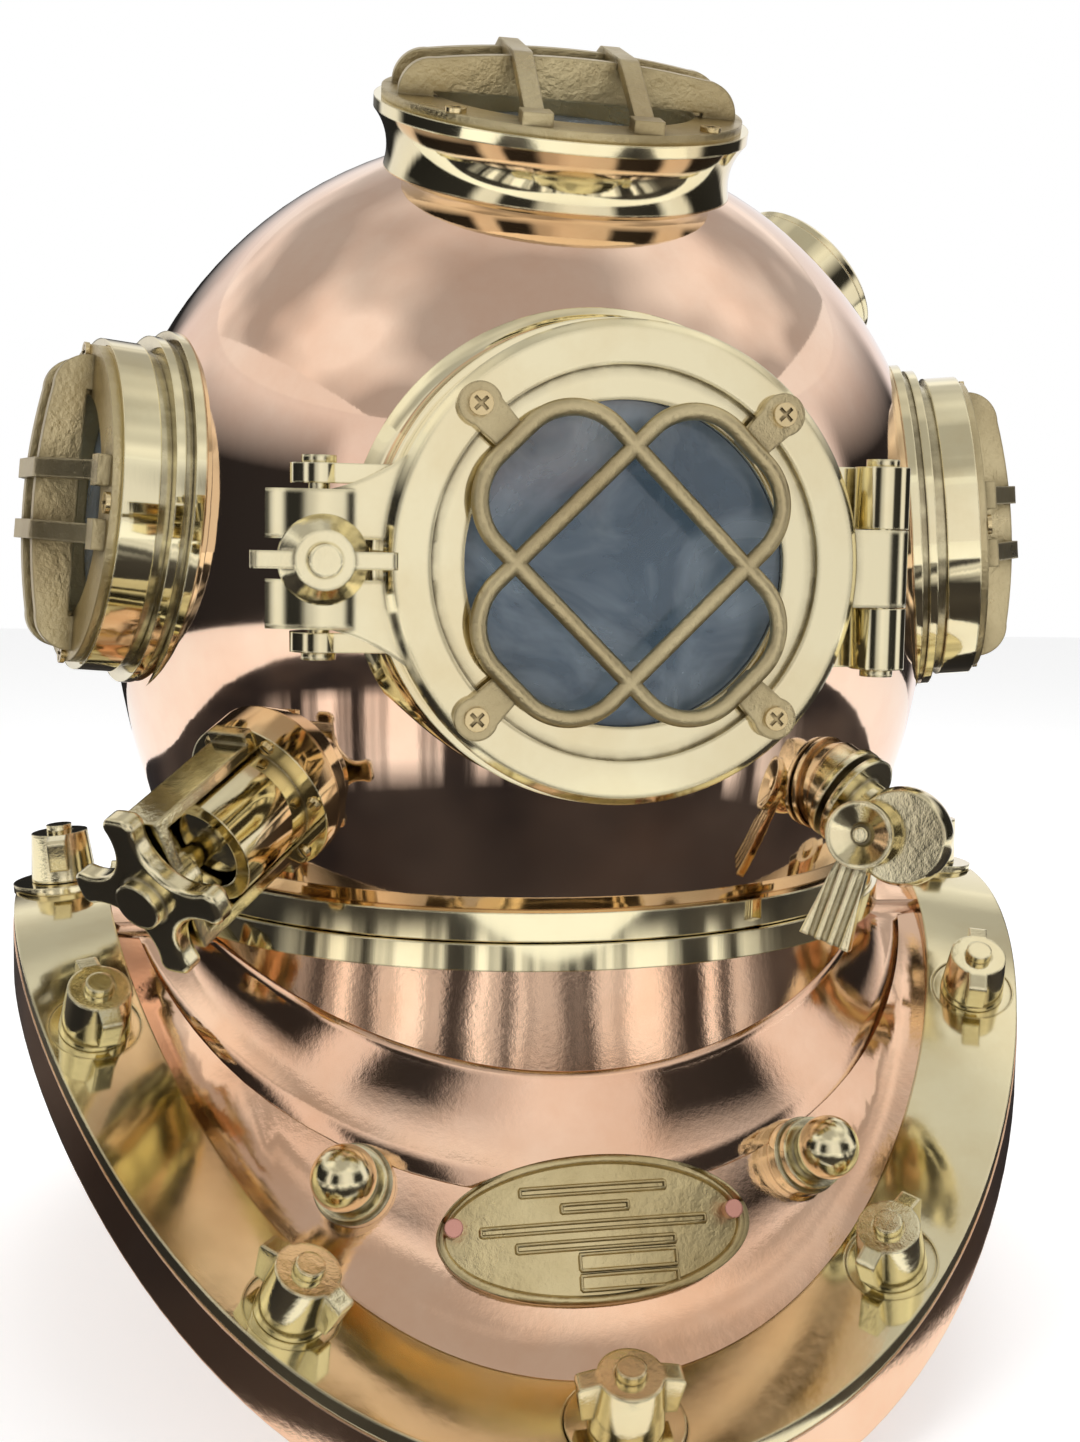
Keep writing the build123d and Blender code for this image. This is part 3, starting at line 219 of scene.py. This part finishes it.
copper_clean, copper_toned, copper_deep = (0.86, 0.63, 0.48), (0.79, 0.51, 0.36), (0.12, 0.04, 0.025)
sheet_clean, sheet_toned = (0.88, 0.60, 0.42), (0.80, 0.48, 0.30)
brass_clean, brass_toned, brass_deep = (0.84, 0.76, 0.50), (0.76, 0.64, 0.38), (0.10, 0.07, 0.03)
cast_clean, cast_toned = (0.62, 0.52, 0.30), (0.46, 0.36, 0.19)
screw_clean, screw_toned = (0.74, 0.60, 0.34), (0.56, 0.42, 0.20)
plate_clean, plate_toned, plate_deep = (0.72, 0.60, 0.33), (0.54, 0.42, 0.20), (0.06, 0.045, 0.02)
rivet_clean, rivet_toned = (0.66, 0.34, 0.27), (0.5, 0.24, 0.18)
finishes = {
    "copper_bonnet": metal("polished copper dome", copper_clean, copper_toned, copper_deep, 0.03, 0.07,
                           wave=0.04),
    "copper_breastplate": metal("polished copper sheet", sheet_clean, sheet_toned, copper_deep, 0.05, 0.13,
                                wave=0.30, wave_scale=18.0, cast=0.04, cast_scale=420.0, reach=0.006),
    "brass_cast": metal("turned brass", brass_clean, brass_toned, brass_deep, 0.04, 0.09, wave=0.05),
    "brass_straps": metal("hand-filed brass strap", brass_clean, brass_toned, brass_deep, 0.06, 0.16,
                          wave=0.10, wave_scale=16.0, edge=0.0012),
    "brass_faceplate": metal("turned brass faceplate", brass_clean, brass_toned, brass_deep, 0.05, 0.11,
                             wave=0.45, wave_scale=11.0, edge=0.0022),
    "brass_guards": metal("rough cast brass", cast_clean, cast_toned, brass_deep, 0.26, 0.42,
                          cast=0.45, edge=0.0012, reach=0.008),
    "brass_fittings": metal("polished brass fittings", brass_clean, brass_toned, brass_deep, 0.06, 0.15,
                            cast=0.08, edge=0.0014),
    "brass_screws": metal("worn brass screws", screw_clean, screw_toned, brass_deep, 0.16, 0.3, edge=0.0004),
    "brass_plate": metal("cast nameplate brass", plate_clean, plate_toned, plate_deep, 0.24, 0.42,
                         cast=0.35, edge=0.0006, reach=0.003),
    "copper_rivets": metal("worn copper rivets", rivet_clean, rivet_toned, copper_deep, 0.2, 0.35),
}


def dark_soft(name, colour, rough, bump_scale, bump_strength):
    """Rubber or oiled leather."""
    material, tree, shader = shader_tree(name)
    where = tree.nodes.new("ShaderNodeTexCoord").outputs["Object"]
    grain = noise(tree, where, bump_scale, 6.0, 0.6)
    lighter = tuple(min(1.0, c * 1.8 + 0.01) for c in colour)
    tree.links.new(mixed(tree, grain, (*colour, 1), (*lighter, 1)), shader.inputs["Base Color"])
    tree.links.new(remap(tree, grain, 0.3, 0.7, rough - 0.1, rough + 0.1), shader.inputs["Roughness"])
    bump = tree.nodes.new("ShaderNodeBump")
    bump.inputs["Strength"].default_value = bump_strength
    bump.inputs["Distance"].default_value = 0.0005
    tree.links.new(grain, bump.inputs["Height"])
    tree.links.new(bump.outputs["Normal"], shader.inputs["Normal"])
    return material


finishes["rubber"] = dark_soft("black rubber", (0.02, 0.02, 0.02), 0.6, 300.0, 0.2)
finishes["leather"] = dark_soft("oiled leather", (0.09, 0.045, 0.02), 0.5, 220.0, 0.4)

# Glass: thick, blue-grey and hazy, with wiping marks on its face; its pale milky patches are partly real haze
# and partly a painted sheen standing in for the pale room it mirrors
material, tree, shader = shader_tree("thick port glass")
shader.inputs["Transmission Weight"].default_value = 0.6
shader.inputs["IOR"].default_value = 1.5
where = tree.nodes.new("ShaderNodeTexCoord").outputs["Object"]
smears = noise(tree, where, 26.0, 4.0, 0.6, 1.4)
# The pale milky colour is partly real haze from the smears and partly a painted reflection of the pale room
smear_haze_and_sheen = remap(tree, smears, 0.38, 0.72, 0.0, 1.0)
deep_glass, milky_glass_and_painted_sheen = (0.19, 0.28, 0.37, 1), (0.58, 0.71, 0.82, 1)
tree.links.new(mixed(tree, smear_haze_and_sheen, deep_glass, milky_glass_and_painted_sheen), shader.inputs["Base Color"])
tree.links.new(remap(tree, smear_haze_and_sheen, 0.0, 1.0, 0.05, 0.4), shader.inputs["Roughness"])
finishes["glass"] = material

slots = {entry["node"]: entry["material_slot"] for entry in frame["record"]["subparts"]}
for name, piece in nodes.items():
    piece.data.materials.clear()
    piece.data.materials.append(finishes[slots[name]])


# Pieces of the scene
def rays_at(node):
    """A tree of a node's faces, to find the places on its surface."""
    skin = nodes[node].data
    places = [vertex.co.copy() for vertex in skin.vertices]
    return BVHTree.FromPolygons(places, [tuple(face.vertices) for face in skin.polygons])


def own_piece(name, points, faces, body, finish):
    """A mesh piece of the scene, with its body and its finish."""
    skin = bpy.data.meshes.new(name)
    skin.from_pydata([tuple(point) for point in points], [], faces)
    shape = bmesh.new()
    shape.from_mesh(skin)
    bmesh.ops.recalc_face_normals(shape, faces=shape.faces)
    shape.to_mesh(skin)
    shape.free()
    for face in skin.polygons:
        face.use_smooth = True
    skin.materials.append(finishes[finish])
    piece = bpy.data.objects.new(name, skin)
    scene.collection.objects.link(piece)
    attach(piece, body)
    return piece


def closed_sweep(sections):
    """Points and faces of a closed loop of equal closed sections."""
    count, around = len(sections), len(sections[0])
    points = [point for section in sections for point in section]
    faces = []
    for i in range(count):
        here, there = i * around, ((i + 1) % count) * around
        for j in range(around):
            beside = (j + 1) % around
            faces.append((here + j, there + j, there + beside, here + beside))
    return points, faces


# A solder fillet where the collar meets the shoulders, concave and laid on both
shell = rays_at("breastplate_shell")
up = Vector((0, 0, 1))
fillet_rise, fillet_reach, fillet_steps, fillet_stations = 0.013, 0.015, 7, 180
fillet_proud, fillet_root, fillet_toe = 0.00025, 0.001, 0.0012
collar_sight_height, collar_sight_start, collar_clearance = 0.140, 0.3, 0.0012
collar_foot_start, collar_top, shoulder_start, longest_ray = 0.145, 0.1435, 0.2, 0.2
sections = []
for station in range(fillet_stations):
    turn = 2 * pi * station / fillet_stations
    away = Vector((sin(turn), -cos(turn), 0))
    wall = shell.ray_cast(up * collar_sight_height + away * collar_sight_start, -away, longest_ray)[0]
    radius = wall.xy.length
    low = shell.ray_cast(away * (radius + collar_clearance) + up * collar_foot_start, -up, longest_ray)[0]
    out = shell.ray_cast(away * (radius + fillet_reach) + up * shoulder_start, -up, longest_ray)[0]
    if low is None or out is None:
        continue
    corner = away * radius + up * low.z
    top = corner + up * min(fillet_rise, collar_top - low.z)
    section = []
    for step in range(fillet_steps + 1):
        t = step / fillet_steps
        bend = top * (1 - t) ** 2 + corner * 2 * t * (1 - t) + out * t ** 2
        section.append(bend + (away + up) * fillet_proud)
    section.append(out - up * fillet_toe)
    section.append(corner - away * fillet_root - up * fillet_root)
    section.append(top - away * fillet_root)
    sections.append(section)
own_piece("collar_fillet", *closed_sweep(sections), "breastplate", "copper_breastplate")

# The nameplate's raised rim, its blank ruled boxes and its plain bars, cast in one with it
plate = rays_at("nameplate")
low, high = (Vector(corner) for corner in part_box("nameplate"))
middle = (low + high) / 2
along_plate = Vector((1, 0, 0))
facing = Vector((0, -0.5, 0.87)).normalized()
for _ in range(3):
    spot, normal = plate.ray_cast(middle + facing * 0.05, -facing, 0.1)[:2]
    facing = Vector((0, normal.y, normal.z)).normalized()
    if facing.z < 0:
        facing = -facing
up_plate = along_plate.cross(-facing)
up_plate = up_plate if up_plate.z > 0 else -up_plate
plate_half_length, plate_half_width, rim_inset = 0.051, 0.023, 0.0014
rim_half_width, rim_height = 0.0016, 0.0018
ruled_half_width, ruled_height, bar_half_height = 0.0007, 0.0012, 0.0012
bead_steps, bead_foot_share, bead_foot_depth = 4, 0.8, 0.0006
blank_boxes = ((-0.006, 0.026, -0.0125, -0.0075), (-0.006, 0.026, -0.0185, -0.0140))
blank_bars = ((0.024, 0.0125), (0.011, 0.0068), (0.037, 0.0012), (0.026, -0.0045))


def on_plate(across, along, lift):
    """A point above the plate's face, from its place on the plate in metres."""
    start = spot + along_plate * across + up_plate * along
    found = plate.ray_cast(start + facing * 0.02, -facing, 0.04)[0]
    return (found if found else start) + facing * lift


def plate_bead(path, half_width, lift):
    """A low rounded bead along points of the plate; the last point joins the first."""
    sections = []
    count = len(path)
    for i, (across, along) in enumerate(path):
        ahead = Vector(path[(i + 1) % count]) - Vector(path[i - 1])
        side = Vector((ahead.y, -ahead.x)).normalized()
        section = []
        for step in range(bead_steps + 1):
            share = -1 + 2 * step / bead_steps
            place = Vector((across, along)) + side * half_width * share
            section.append(on_plate(place.x, place.y, lift * (1 - share ** 2) ** 0.5))
        for share in (bead_foot_share, -bead_foot_share):
            place = Vector((across, along)) + side * half_width * share
            section.append(on_plate(place.x, place.y, -bead_foot_depth))
        sections.append(section)
    return closed_sweep(sections)


def plate_frame_path(left, right, bottom, top, parts=10):
    """The points of a box's frame on the plate."""
    corners = [(left, bottom), (right, bottom), (right, top), (left, top)]
    path = []
    for i in range(4):
        a, b = Vector(corners[i]), Vector(corners[(i + 1) % 4])
        path += [tuple(a.lerp(b, (k + 0.08) / parts)) for k in range(parts)]
    return path


rim_steps = 120
rim_path = []
for step in range(rim_steps):
    turn = 2 * pi * step / rim_steps
    rim_path.append(((plate_half_length - rim_inset) * cos(turn), (plate_half_width - rim_inset) * sin(turn)))
beads = [plate_bead(rim_path, rim_half_width, rim_height)]
frames = list(blank_boxes)
for half_long, height in blank_bars:
    frames.append((-half_long, half_long, height - bar_half_height, height + bar_half_height))
for left, right, bottom, top in frames:
    beads.append(plate_bead(plate_frame_path(left, right, bottom, top), ruled_half_width, ruled_height))
points, faces = [], []
for more_points, more_faces in beads:
    faces += [tuple(index + len(points) for index in face) for face in more_faces]
    points += more_points
own_piece("nameplate_relief", points, faces, "breastplate", "brass_plate")


# A ring of slotted screws, repeated by Geometry Nodes
def screw_ring_tree(finish):
    """A node tree that sets equal slotted screws round a circle, each turned its own way."""
    tree = bpy.data.node_groups.new("screw ring", "GeometryNodeTree")
    sizes = (("Count", "NodeSocketInt", 6), ("Circle radius", "NodeSocketFloat", 0.023),
             ("Head radius", "NodeSocketFloat", 0.0026), ("Head height", "NodeSocketFloat", 0.0016),
             ("Slot width", "NodeSocketFloat", 0.0007), ("Seed", "NodeSocketInt", 3))
    for label, kind, value in sizes:
        tree.interface.new_socket(label, in_out="INPUT", socket_type=kind).default_value = value
    tree.interface.new_socket("Geometry", in_out="OUTPUT", socket_type="NodeSocketGeometry")
    given = tree.nodes.new("NodeGroupInput").outputs
    leave = tree.nodes.new("NodeGroupOutput")

    places = tree.nodes.new("GeometryNodeMeshCircle")
    tree.links.new(given["Count"], places.inputs["Vertices"])
    tree.links.new(given["Circle radius"], places.inputs["Radius"])

    head = tree.nodes.new("GeometryNodeMeshCone")
    head.inputs["Vertices"].default_value = 24
    tree.links.new(arithmetic(tree, "MULTIPLY", given["Head radius"], 0.72), head.inputs["Radius Top"])
    tree.links.new(given["Head radius"], head.inputs["Radius Bottom"])
    tree.links.new(given["Head height"], head.inputs["Depth"])

    slot_size = tree.nodes.new("ShaderNodeCombineXYZ")
    tree.links.new(arithmetic(tree, "MULTIPLY", given["Head radius"], 4.0), slot_size.inputs["X"])
    tree.links.new(given["Slot width"], slot_size.inputs["Y"])
    tree.links.new(given["Head height"], slot_size.inputs["Z"])
    slot_bar = tree.nodes.new("GeometryNodeMeshCube")
    tree.links.new(slot_size.outputs[0], slot_bar.inputs["Size"])
    slot_rise = tree.nodes.new("ShaderNodeCombineXYZ")
    tree.links.new(arithmetic(tree, "MULTIPLY", given["Head height"], 1.05), slot_rise.inputs["Z"])
    slot_place = tree.nodes.new("GeometryNodeTransform")
    tree.links.new(slot_bar.outputs["Mesh"], slot_place.inputs["Geometry"])
    tree.links.new(slot_rise.outputs[0], slot_place.inputs["Translation"])
    slotted = tree.nodes.new("GeometryNodeMeshBoolean")
    slotted.operation = "DIFFERENCE"
    slotted.solver = "EXACT"
    tree.links.new(head.outputs["Mesh"], slotted.inputs["Mesh 1"])
    tree.links.new(slot_place.outputs["Geometry"], slotted.inputs["Mesh 2"])

    turns = tree.nodes.new("FunctionNodeRandomValue")
    turns.data_type = "FLOAT_VECTOR"
    turns.inputs["Min"].default_value = (0.0, 0.0, 0.0)
    turns.inputs["Max"].default_value = (0.0, 0.0, pi)
    tree.links.new(given["Seed"], turns.inputs["Seed"])
    repeated = tree.nodes.new("GeometryNodeInstanceOnPoints")
    tree.links.new(places.outputs["Mesh"], repeated.inputs["Points"])
    tree.links.new(slotted.outputs["Mesh"], repeated.inputs["Instance"])
    tree.links.new(turns.outputs["Value"], repeated.inputs["Rotation"])
    real = tree.nodes.new("GeometryNodeRealizeInstances")
    tree.links.new(repeated.outputs["Instances"], real.inputs["Geometry"])
    dress = tree.nodes.new("GeometryNodeSetMaterial")
    dress.inputs["Material"].default_value = finishes[finish]
    tree.links.new(real.outputs["Geometry"], dress.inputs["Geometry"])
    tree.links.new(dress.outputs["Geometry"], leave.inputs["Geometry"])
    return tree


def grown(name, tree, values, place, body):
    """The plain mesh that a tree makes with the given inputs, put in its place on its body."""
    seedling = bpy.data.objects.new(name, bpy.data.meshes.new(name + " seed"))
    scene.collection.objects.link(seedling)
    grower = seedling.modifiers.new("grow", "NODES")
    grower.node_group = tree
    for entry in tree.interface.items_tree:
        if entry.name in values:
            grower[entry.identifier] = values[entry.name]
    view = bpy.context.evaluated_depsgraph_get()
    skin = bpy.data.meshes.new_from_object(seedling.evaluated_get(view))
    seedling.modifiers.remove(grower)
    skin.transform(place)
    seedling.data = skin
    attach(seedling, body)
    return seedling


# The exhaust valve's flange faces along this axis from the dome's centre; the screws are sunk 0.1 mm into it
dome_centre = up * 0.280
exhaust_axis = Vector((-0.607665, -0.651641, -0.45399))
exhaust_across = up.cross(exhaust_axis).normalized()
exhaust_turn = Matrix((exhaust_across, exhaust_axis.cross(exhaust_across), exhaust_axis)).transposed().to_4x4()
flange_screw_seat = dome_centre + exhaust_axis * 0.1739
grown("exhaust_flange_screws", screw_ring_tree("brass_screws"), {"Count": 6, "Circle radius": 0.0232},
      Matrix.Translation(flange_screw_seat) @ exhaust_turn, "bonnet")


# Camera at the photograph's place
def look_along(place, ahead, roll):
    """A camera's matrix from its place, the way it looks and its roll."""
    ahead = Vector(ahead).normalized()
    side = ahead.cross(up).normalized()
    turn = Matrix((side, side.cross(ahead), -ahead)).transposed().to_4x4()
    return Matrix.Translation(place) @ turn @ Matrix.Rotation(roll, 4, "Z")


photo_height, focal_pixels, shift_right, shift_up = 1442.0, 1700.0, -89.6, -30.1
lens = bpy.data.cameras.new("camera")
lens.sensor_fit = "VERTICAL"
lens.sensor_height = 36.0
lens.lens = lens.sensor_height * focal_pixels / photo_height
lens.shift_x = shift_right / photo_height
lens.shift_y = shift_up / photo_height
camera = bpy.data.objects.new("camera", lens)
scene.collection.objects.link(camera)
camera.matrix_world = look_along((-0.1133, -0.6751, 0.2901), (0.2261, 0.9696, -0.0938), radians(1.29))
scene.camera = camera


# Light: soft lamps, a white room and dark cloths whose reflections give the metal its depth
def lamp(name, place, target, size, power, tint=(1.0, 1.0, 1.0)):
    """A square soft lamp aimed at a point, which the metal doesn't mirror."""
    data = bpy.data.lights.new(name, "AREA")
    data.size = size
    data.energy = power
    data.color = tint
    piece = bpy.data.objects.new(name, data)
    scene.collection.objects.link(piece)
    piece.location = place
    piece.rotation_euler = (Vector(target) - Vector(place)).to_track_quat("-Z", "Y").to_euler()
    piece.visible_glossy = False


helmet_middle = (0, 0, 0.25)
lamp("window", (-1.5, -1.0, 1.1), helmet_middle, 1.1, 11.0, (1.0, 0.99, 0.97))
lamp("fill", (1.6, -1.0, 0.9), helmet_middle, 0.9, 6.0)
lamp("overhead", (0.2, 0.3, 1.8), helmet_middle, 1.2, 12.0)


def seen_directly(tree):
    """1 for what the camera, a mirror or a glass sees, 0 for the light that falls on the object."""
    path = tree.nodes.new("ShaderNodeLightPath")
    seen = arithmetic(tree, "MAXIMUM", path.outputs["Is Camera Ray"], path.outputs["Is Glossy Ray"])
    return arithmetic(tree, "MAXIMUM", seen, path.outputs["Is Transmission Ray"])


world = bpy.data.worlds.new("room")
world.use_nodes = True
scene.world = world
tree = world.node_tree
tree.nodes.clear()
out = tree.nodes.new("ShaderNodeOutputWorld")
backdrop = tree.nodes.new("ShaderNodeBackground")
tree.links.new(backdrop.outputs["Background"], out.inputs["Surface"])
room_grey, room_white = (0.5, 0.5, 0.5, 1), (1, 1, 1, 1)
tree.links.new(mixed(tree, seen_directly(tree), room_grey, room_white), backdrop.inputs["Color"])


def flat_object(name, quads, material):
    """Flat four-cornered sheets in one object, none of them part of the helmet."""
    sheet = bpy.data.meshes.new(name)
    points = [point for quad in quads for point in quad]
    sheet.from_pydata(points, [], [tuple(range(4 * k, 4 * k + 4)) for k in range(len(quads))])
    sheet.materials.append(material)
    piece = bpy.data.objects.new(name, sheet)
    scene.collection.objects.link(piece)
    return piece


def level_square(half, height):
    """The corners of a level square round the helmet."""
    return [(-half, -half, height), (half, -half, height), (half, half, height), (-half, half, height)]


floor_half, floor_glow = 4.0, 0.45
material, tree, shader = shader_tree("pale floor")
shader.inputs["Base Color"].default_value = (0.82, 0.82, 0.82, 1)
shader.inputs["Roughness"].default_value = 0.9
shader.inputs["Emission Color"].default_value = (1, 1, 1, 1)
glow_seen = arithmetic(tree, "MULTIPLY", seen_directly(tree), floor_glow)
tree.links.new(glow_seen, shader.inputs["Emission Strength"])
flat_object("floor", [level_square(floor_half, 0)], material)


def bearing_of(tree, where):
    """The bearing of a place round the helmet, 0 in front, and the node that gives its parts."""
    parts = tree.nodes.new("ShaderNodeSeparateXYZ")
    tree.links.new(where, parts.inputs["Vector"])
    ahead = arithmetic(tree, "MULTIPLY", parts.outputs["Y"], -1.0)
    return arithmetic(tree, "ARCTAN2", parts.outputs["X"], ahead), parts


cloth_near, cloth_far, cloth_far_swing, cloth_step = 0.25, 0.88, 0.18, 5
cloth_inner_height, cloth_outer_rise = 0.003, 0.007


def lying_cloth(start, stop):
    """A piece of the cloth laid on the floor round the helmet, with a wavy outer edge."""
    quad = []
    for turn, outer in ((start, 0), (stop, 0), (stop, 1), (start, 1)):
        reach = cloth_far - cloth_far_swing * cos(radians(3 * turn)) if outer else cloth_near
        height = cloth_inner_height + cloth_outer_rise * outer
        quad.append((reach * sin(radians(turn)), -reach * cos(radians(turn)), height))
    return quad


def only_reflected(piece):
    """Seen in the metal and the glass, and nowhere else."""
    piece.visible_camera = False
    piece.visible_diffuse = False
    piece.visible_shadow = False


# Black cloth, with pale folds in front that glow by themselves, painted light strips which the collar mirrors
# as upright streaks
material, tree, shader = shader_tree("black cloth")
where = tree.nodes.new("ShaderNodeTexCoord").outputs["Object"]
black, worn_black, glowing_pale_fold = (0.012, 0.011, 0.013, 1), (0.07, 0.06, 0.055, 1), (0.85, 0.82, 0.80, 1)
shades = remap(tree, noise(tree, where, 2.2, 3.0, 0.5), 0.42, 0.68, 0.0, 1.0)
dark_cloth = mixed(tree, shades, black, worn_black)
bearing, _ = bearing_of(tree, where)
spread = tree.nodes.new("ShaderNodeVectorMath")
spread.operation = "LENGTH"
tree.links.new(where, spread.inputs[0])
around = tree.nodes.new("ShaderNodeCombineXYZ")
tree.links.new(bearing, around.inputs["X"])
folded = remap(tree, noise(tree, around.outputs[0], 3.6, 3.0, 0.6), 0.45, 0.55, 0.0, 1.0)
aside = arithmetic(tree, "ABSOLUTE", arithmetic(tree, "ADD", bearing, 0.1), 0.0)
front = remap(tree, aside, 0.9, 1.3, 1.0, 0.0)
past_near = remap(tree, spread.outputs["Value"], 0.42, 0.50, 0.0, 1.0)
before_far = remap(tree, spread.outputs["Value"], 0.72, 0.80, 1.0, 0.0)
band = arithmetic(tree, "MULTIPLY", past_near, before_far)
glowing_fold_streak = arithmetic(tree, "MULTIPLY", folded, arithmetic(tree, "MULTIPLY", front, band))
tree.links.new(mixed(tree, glowing_fold_streak, dark_cloth, glowing_pale_fold), shader.inputs["Base Color"])
# The pale folds shine by themselves: painted light for the collar to mirror, not cloth lit by the lamps
shader.inputs["Emission Color"].default_value = (1, 1, 1, 1)
tree.links.new(arithmetic(tree, "MULTIPLY", glowing_fold_streak, 0.5), shader.inputs["Emission Strength"])
shader.inputs["Roughness"].default_value = 0.95
cloths = [lying_cloth(turn, turn + cloth_step) for turn in range(0, 360, cloth_step)]
only_reflected(flat_object("black cloths", cloths, material))


def glowing(name):
    """A material that shines by itself, its tree, its shader and its object coordinates."""
    material = bpy.data.materials.new(name)
    material.use_nodes = True
    tree = material.node_tree
    tree.nodes.clear()
    glow = tree.nodes.new("ShaderNodeEmission")
    out = tree.nodes.new("ShaderNodeOutputMaterial")
    tree.links.new(glow.outputs["Emission"], out.inputs["Surface"])
    return material, tree, glow, tree.nodes.new("ShaderNodeTexCoord").outputs["Object"]


# A grey scrim overhead
material, tree, glow, where = glowing("grey scrim")
scrim_grey, scrim_white, scrim_half, scrim_height = (0.50, 0.49, 0.48, 1), (1.1, 1.08, 1.06, 1), 1.9, 1.7
clouds = remap(tree, noise(tree, where, 0.7, 2.0, 0.5), 0.40, 0.60, 0.0, 1.0)
tree.links.new(mixed(tree, clouds, scrim_grey, scrim_white), glow.inputs["Color"])
only_reflected(flat_object("scrim", [level_square(scrim_half, scrim_height)], material))

# A screen round the helmet, with dark and light stretches like a room's walls and windows
material, tree, glow, where = glowing("streaked screen")
bearing, compass = bearing_of(tree, where)
ramp = tree.nodes.new("ShaderNodeValToRGB")
ramp.color_ramp.interpolation = "EASE"
tree.links.new(remap(tree, bearing, -pi, pi, 0.0, 1.0), ramp.inputs["Fac"])
stops = [(0.03, 0.02), (0.07, 0.02), (0.10, 0.95), (0.15, 1.0), (0.18, 0.02), (0.32, 0.03), (0.345, 1.0),
         (0.37, 0.95), (0.385, 0.03), (0.43, 0.03), (0.455, 0.65), (0.50, 1.0), (0.565, 0.9), (0.585, 0.04),
         (0.655, 0.03), (0.68, 1.0), (0.72, 0.95), (0.745, 0.02), (0.85, 0.03), (0.88, 1.0), (0.93, 0.95),
         (0.96, 0.02)]
while len(ramp.color_ramp.elements) < len(stops):
    ramp.color_ramp.elements.new(0.5)
for element, (position, level) in zip(ramp.color_ramp.elements, stops):
    element.position = position
    element.color = (level, level * 0.98, level, 1)
higher = remap(tree, compass.outputs["Z"], 0.75, 1.2, 0.0, 1.0)
upper_white = (0.92, 0.91, 0.92, 1)
tree.links.new(mixed(tree, higher, ramp.outputs["Color"], upper_white), glow.inputs["Color"])
panels, screen_radius, screen_height = 72, 1.6, 1.25
upright = []
for panel in range(panels):
    turns = [2 * pi * side / panels for side in (panel, panel + 1)]
    first, second = [(screen_radius * sin(turn), -screen_radius * cos(turn)) for turn in turns]
    upright.append([(*first, 0), (*second, 0), (*second, screen_height), (*first, screen_height)])
only_reflected(flat_object("screen", upright, material))
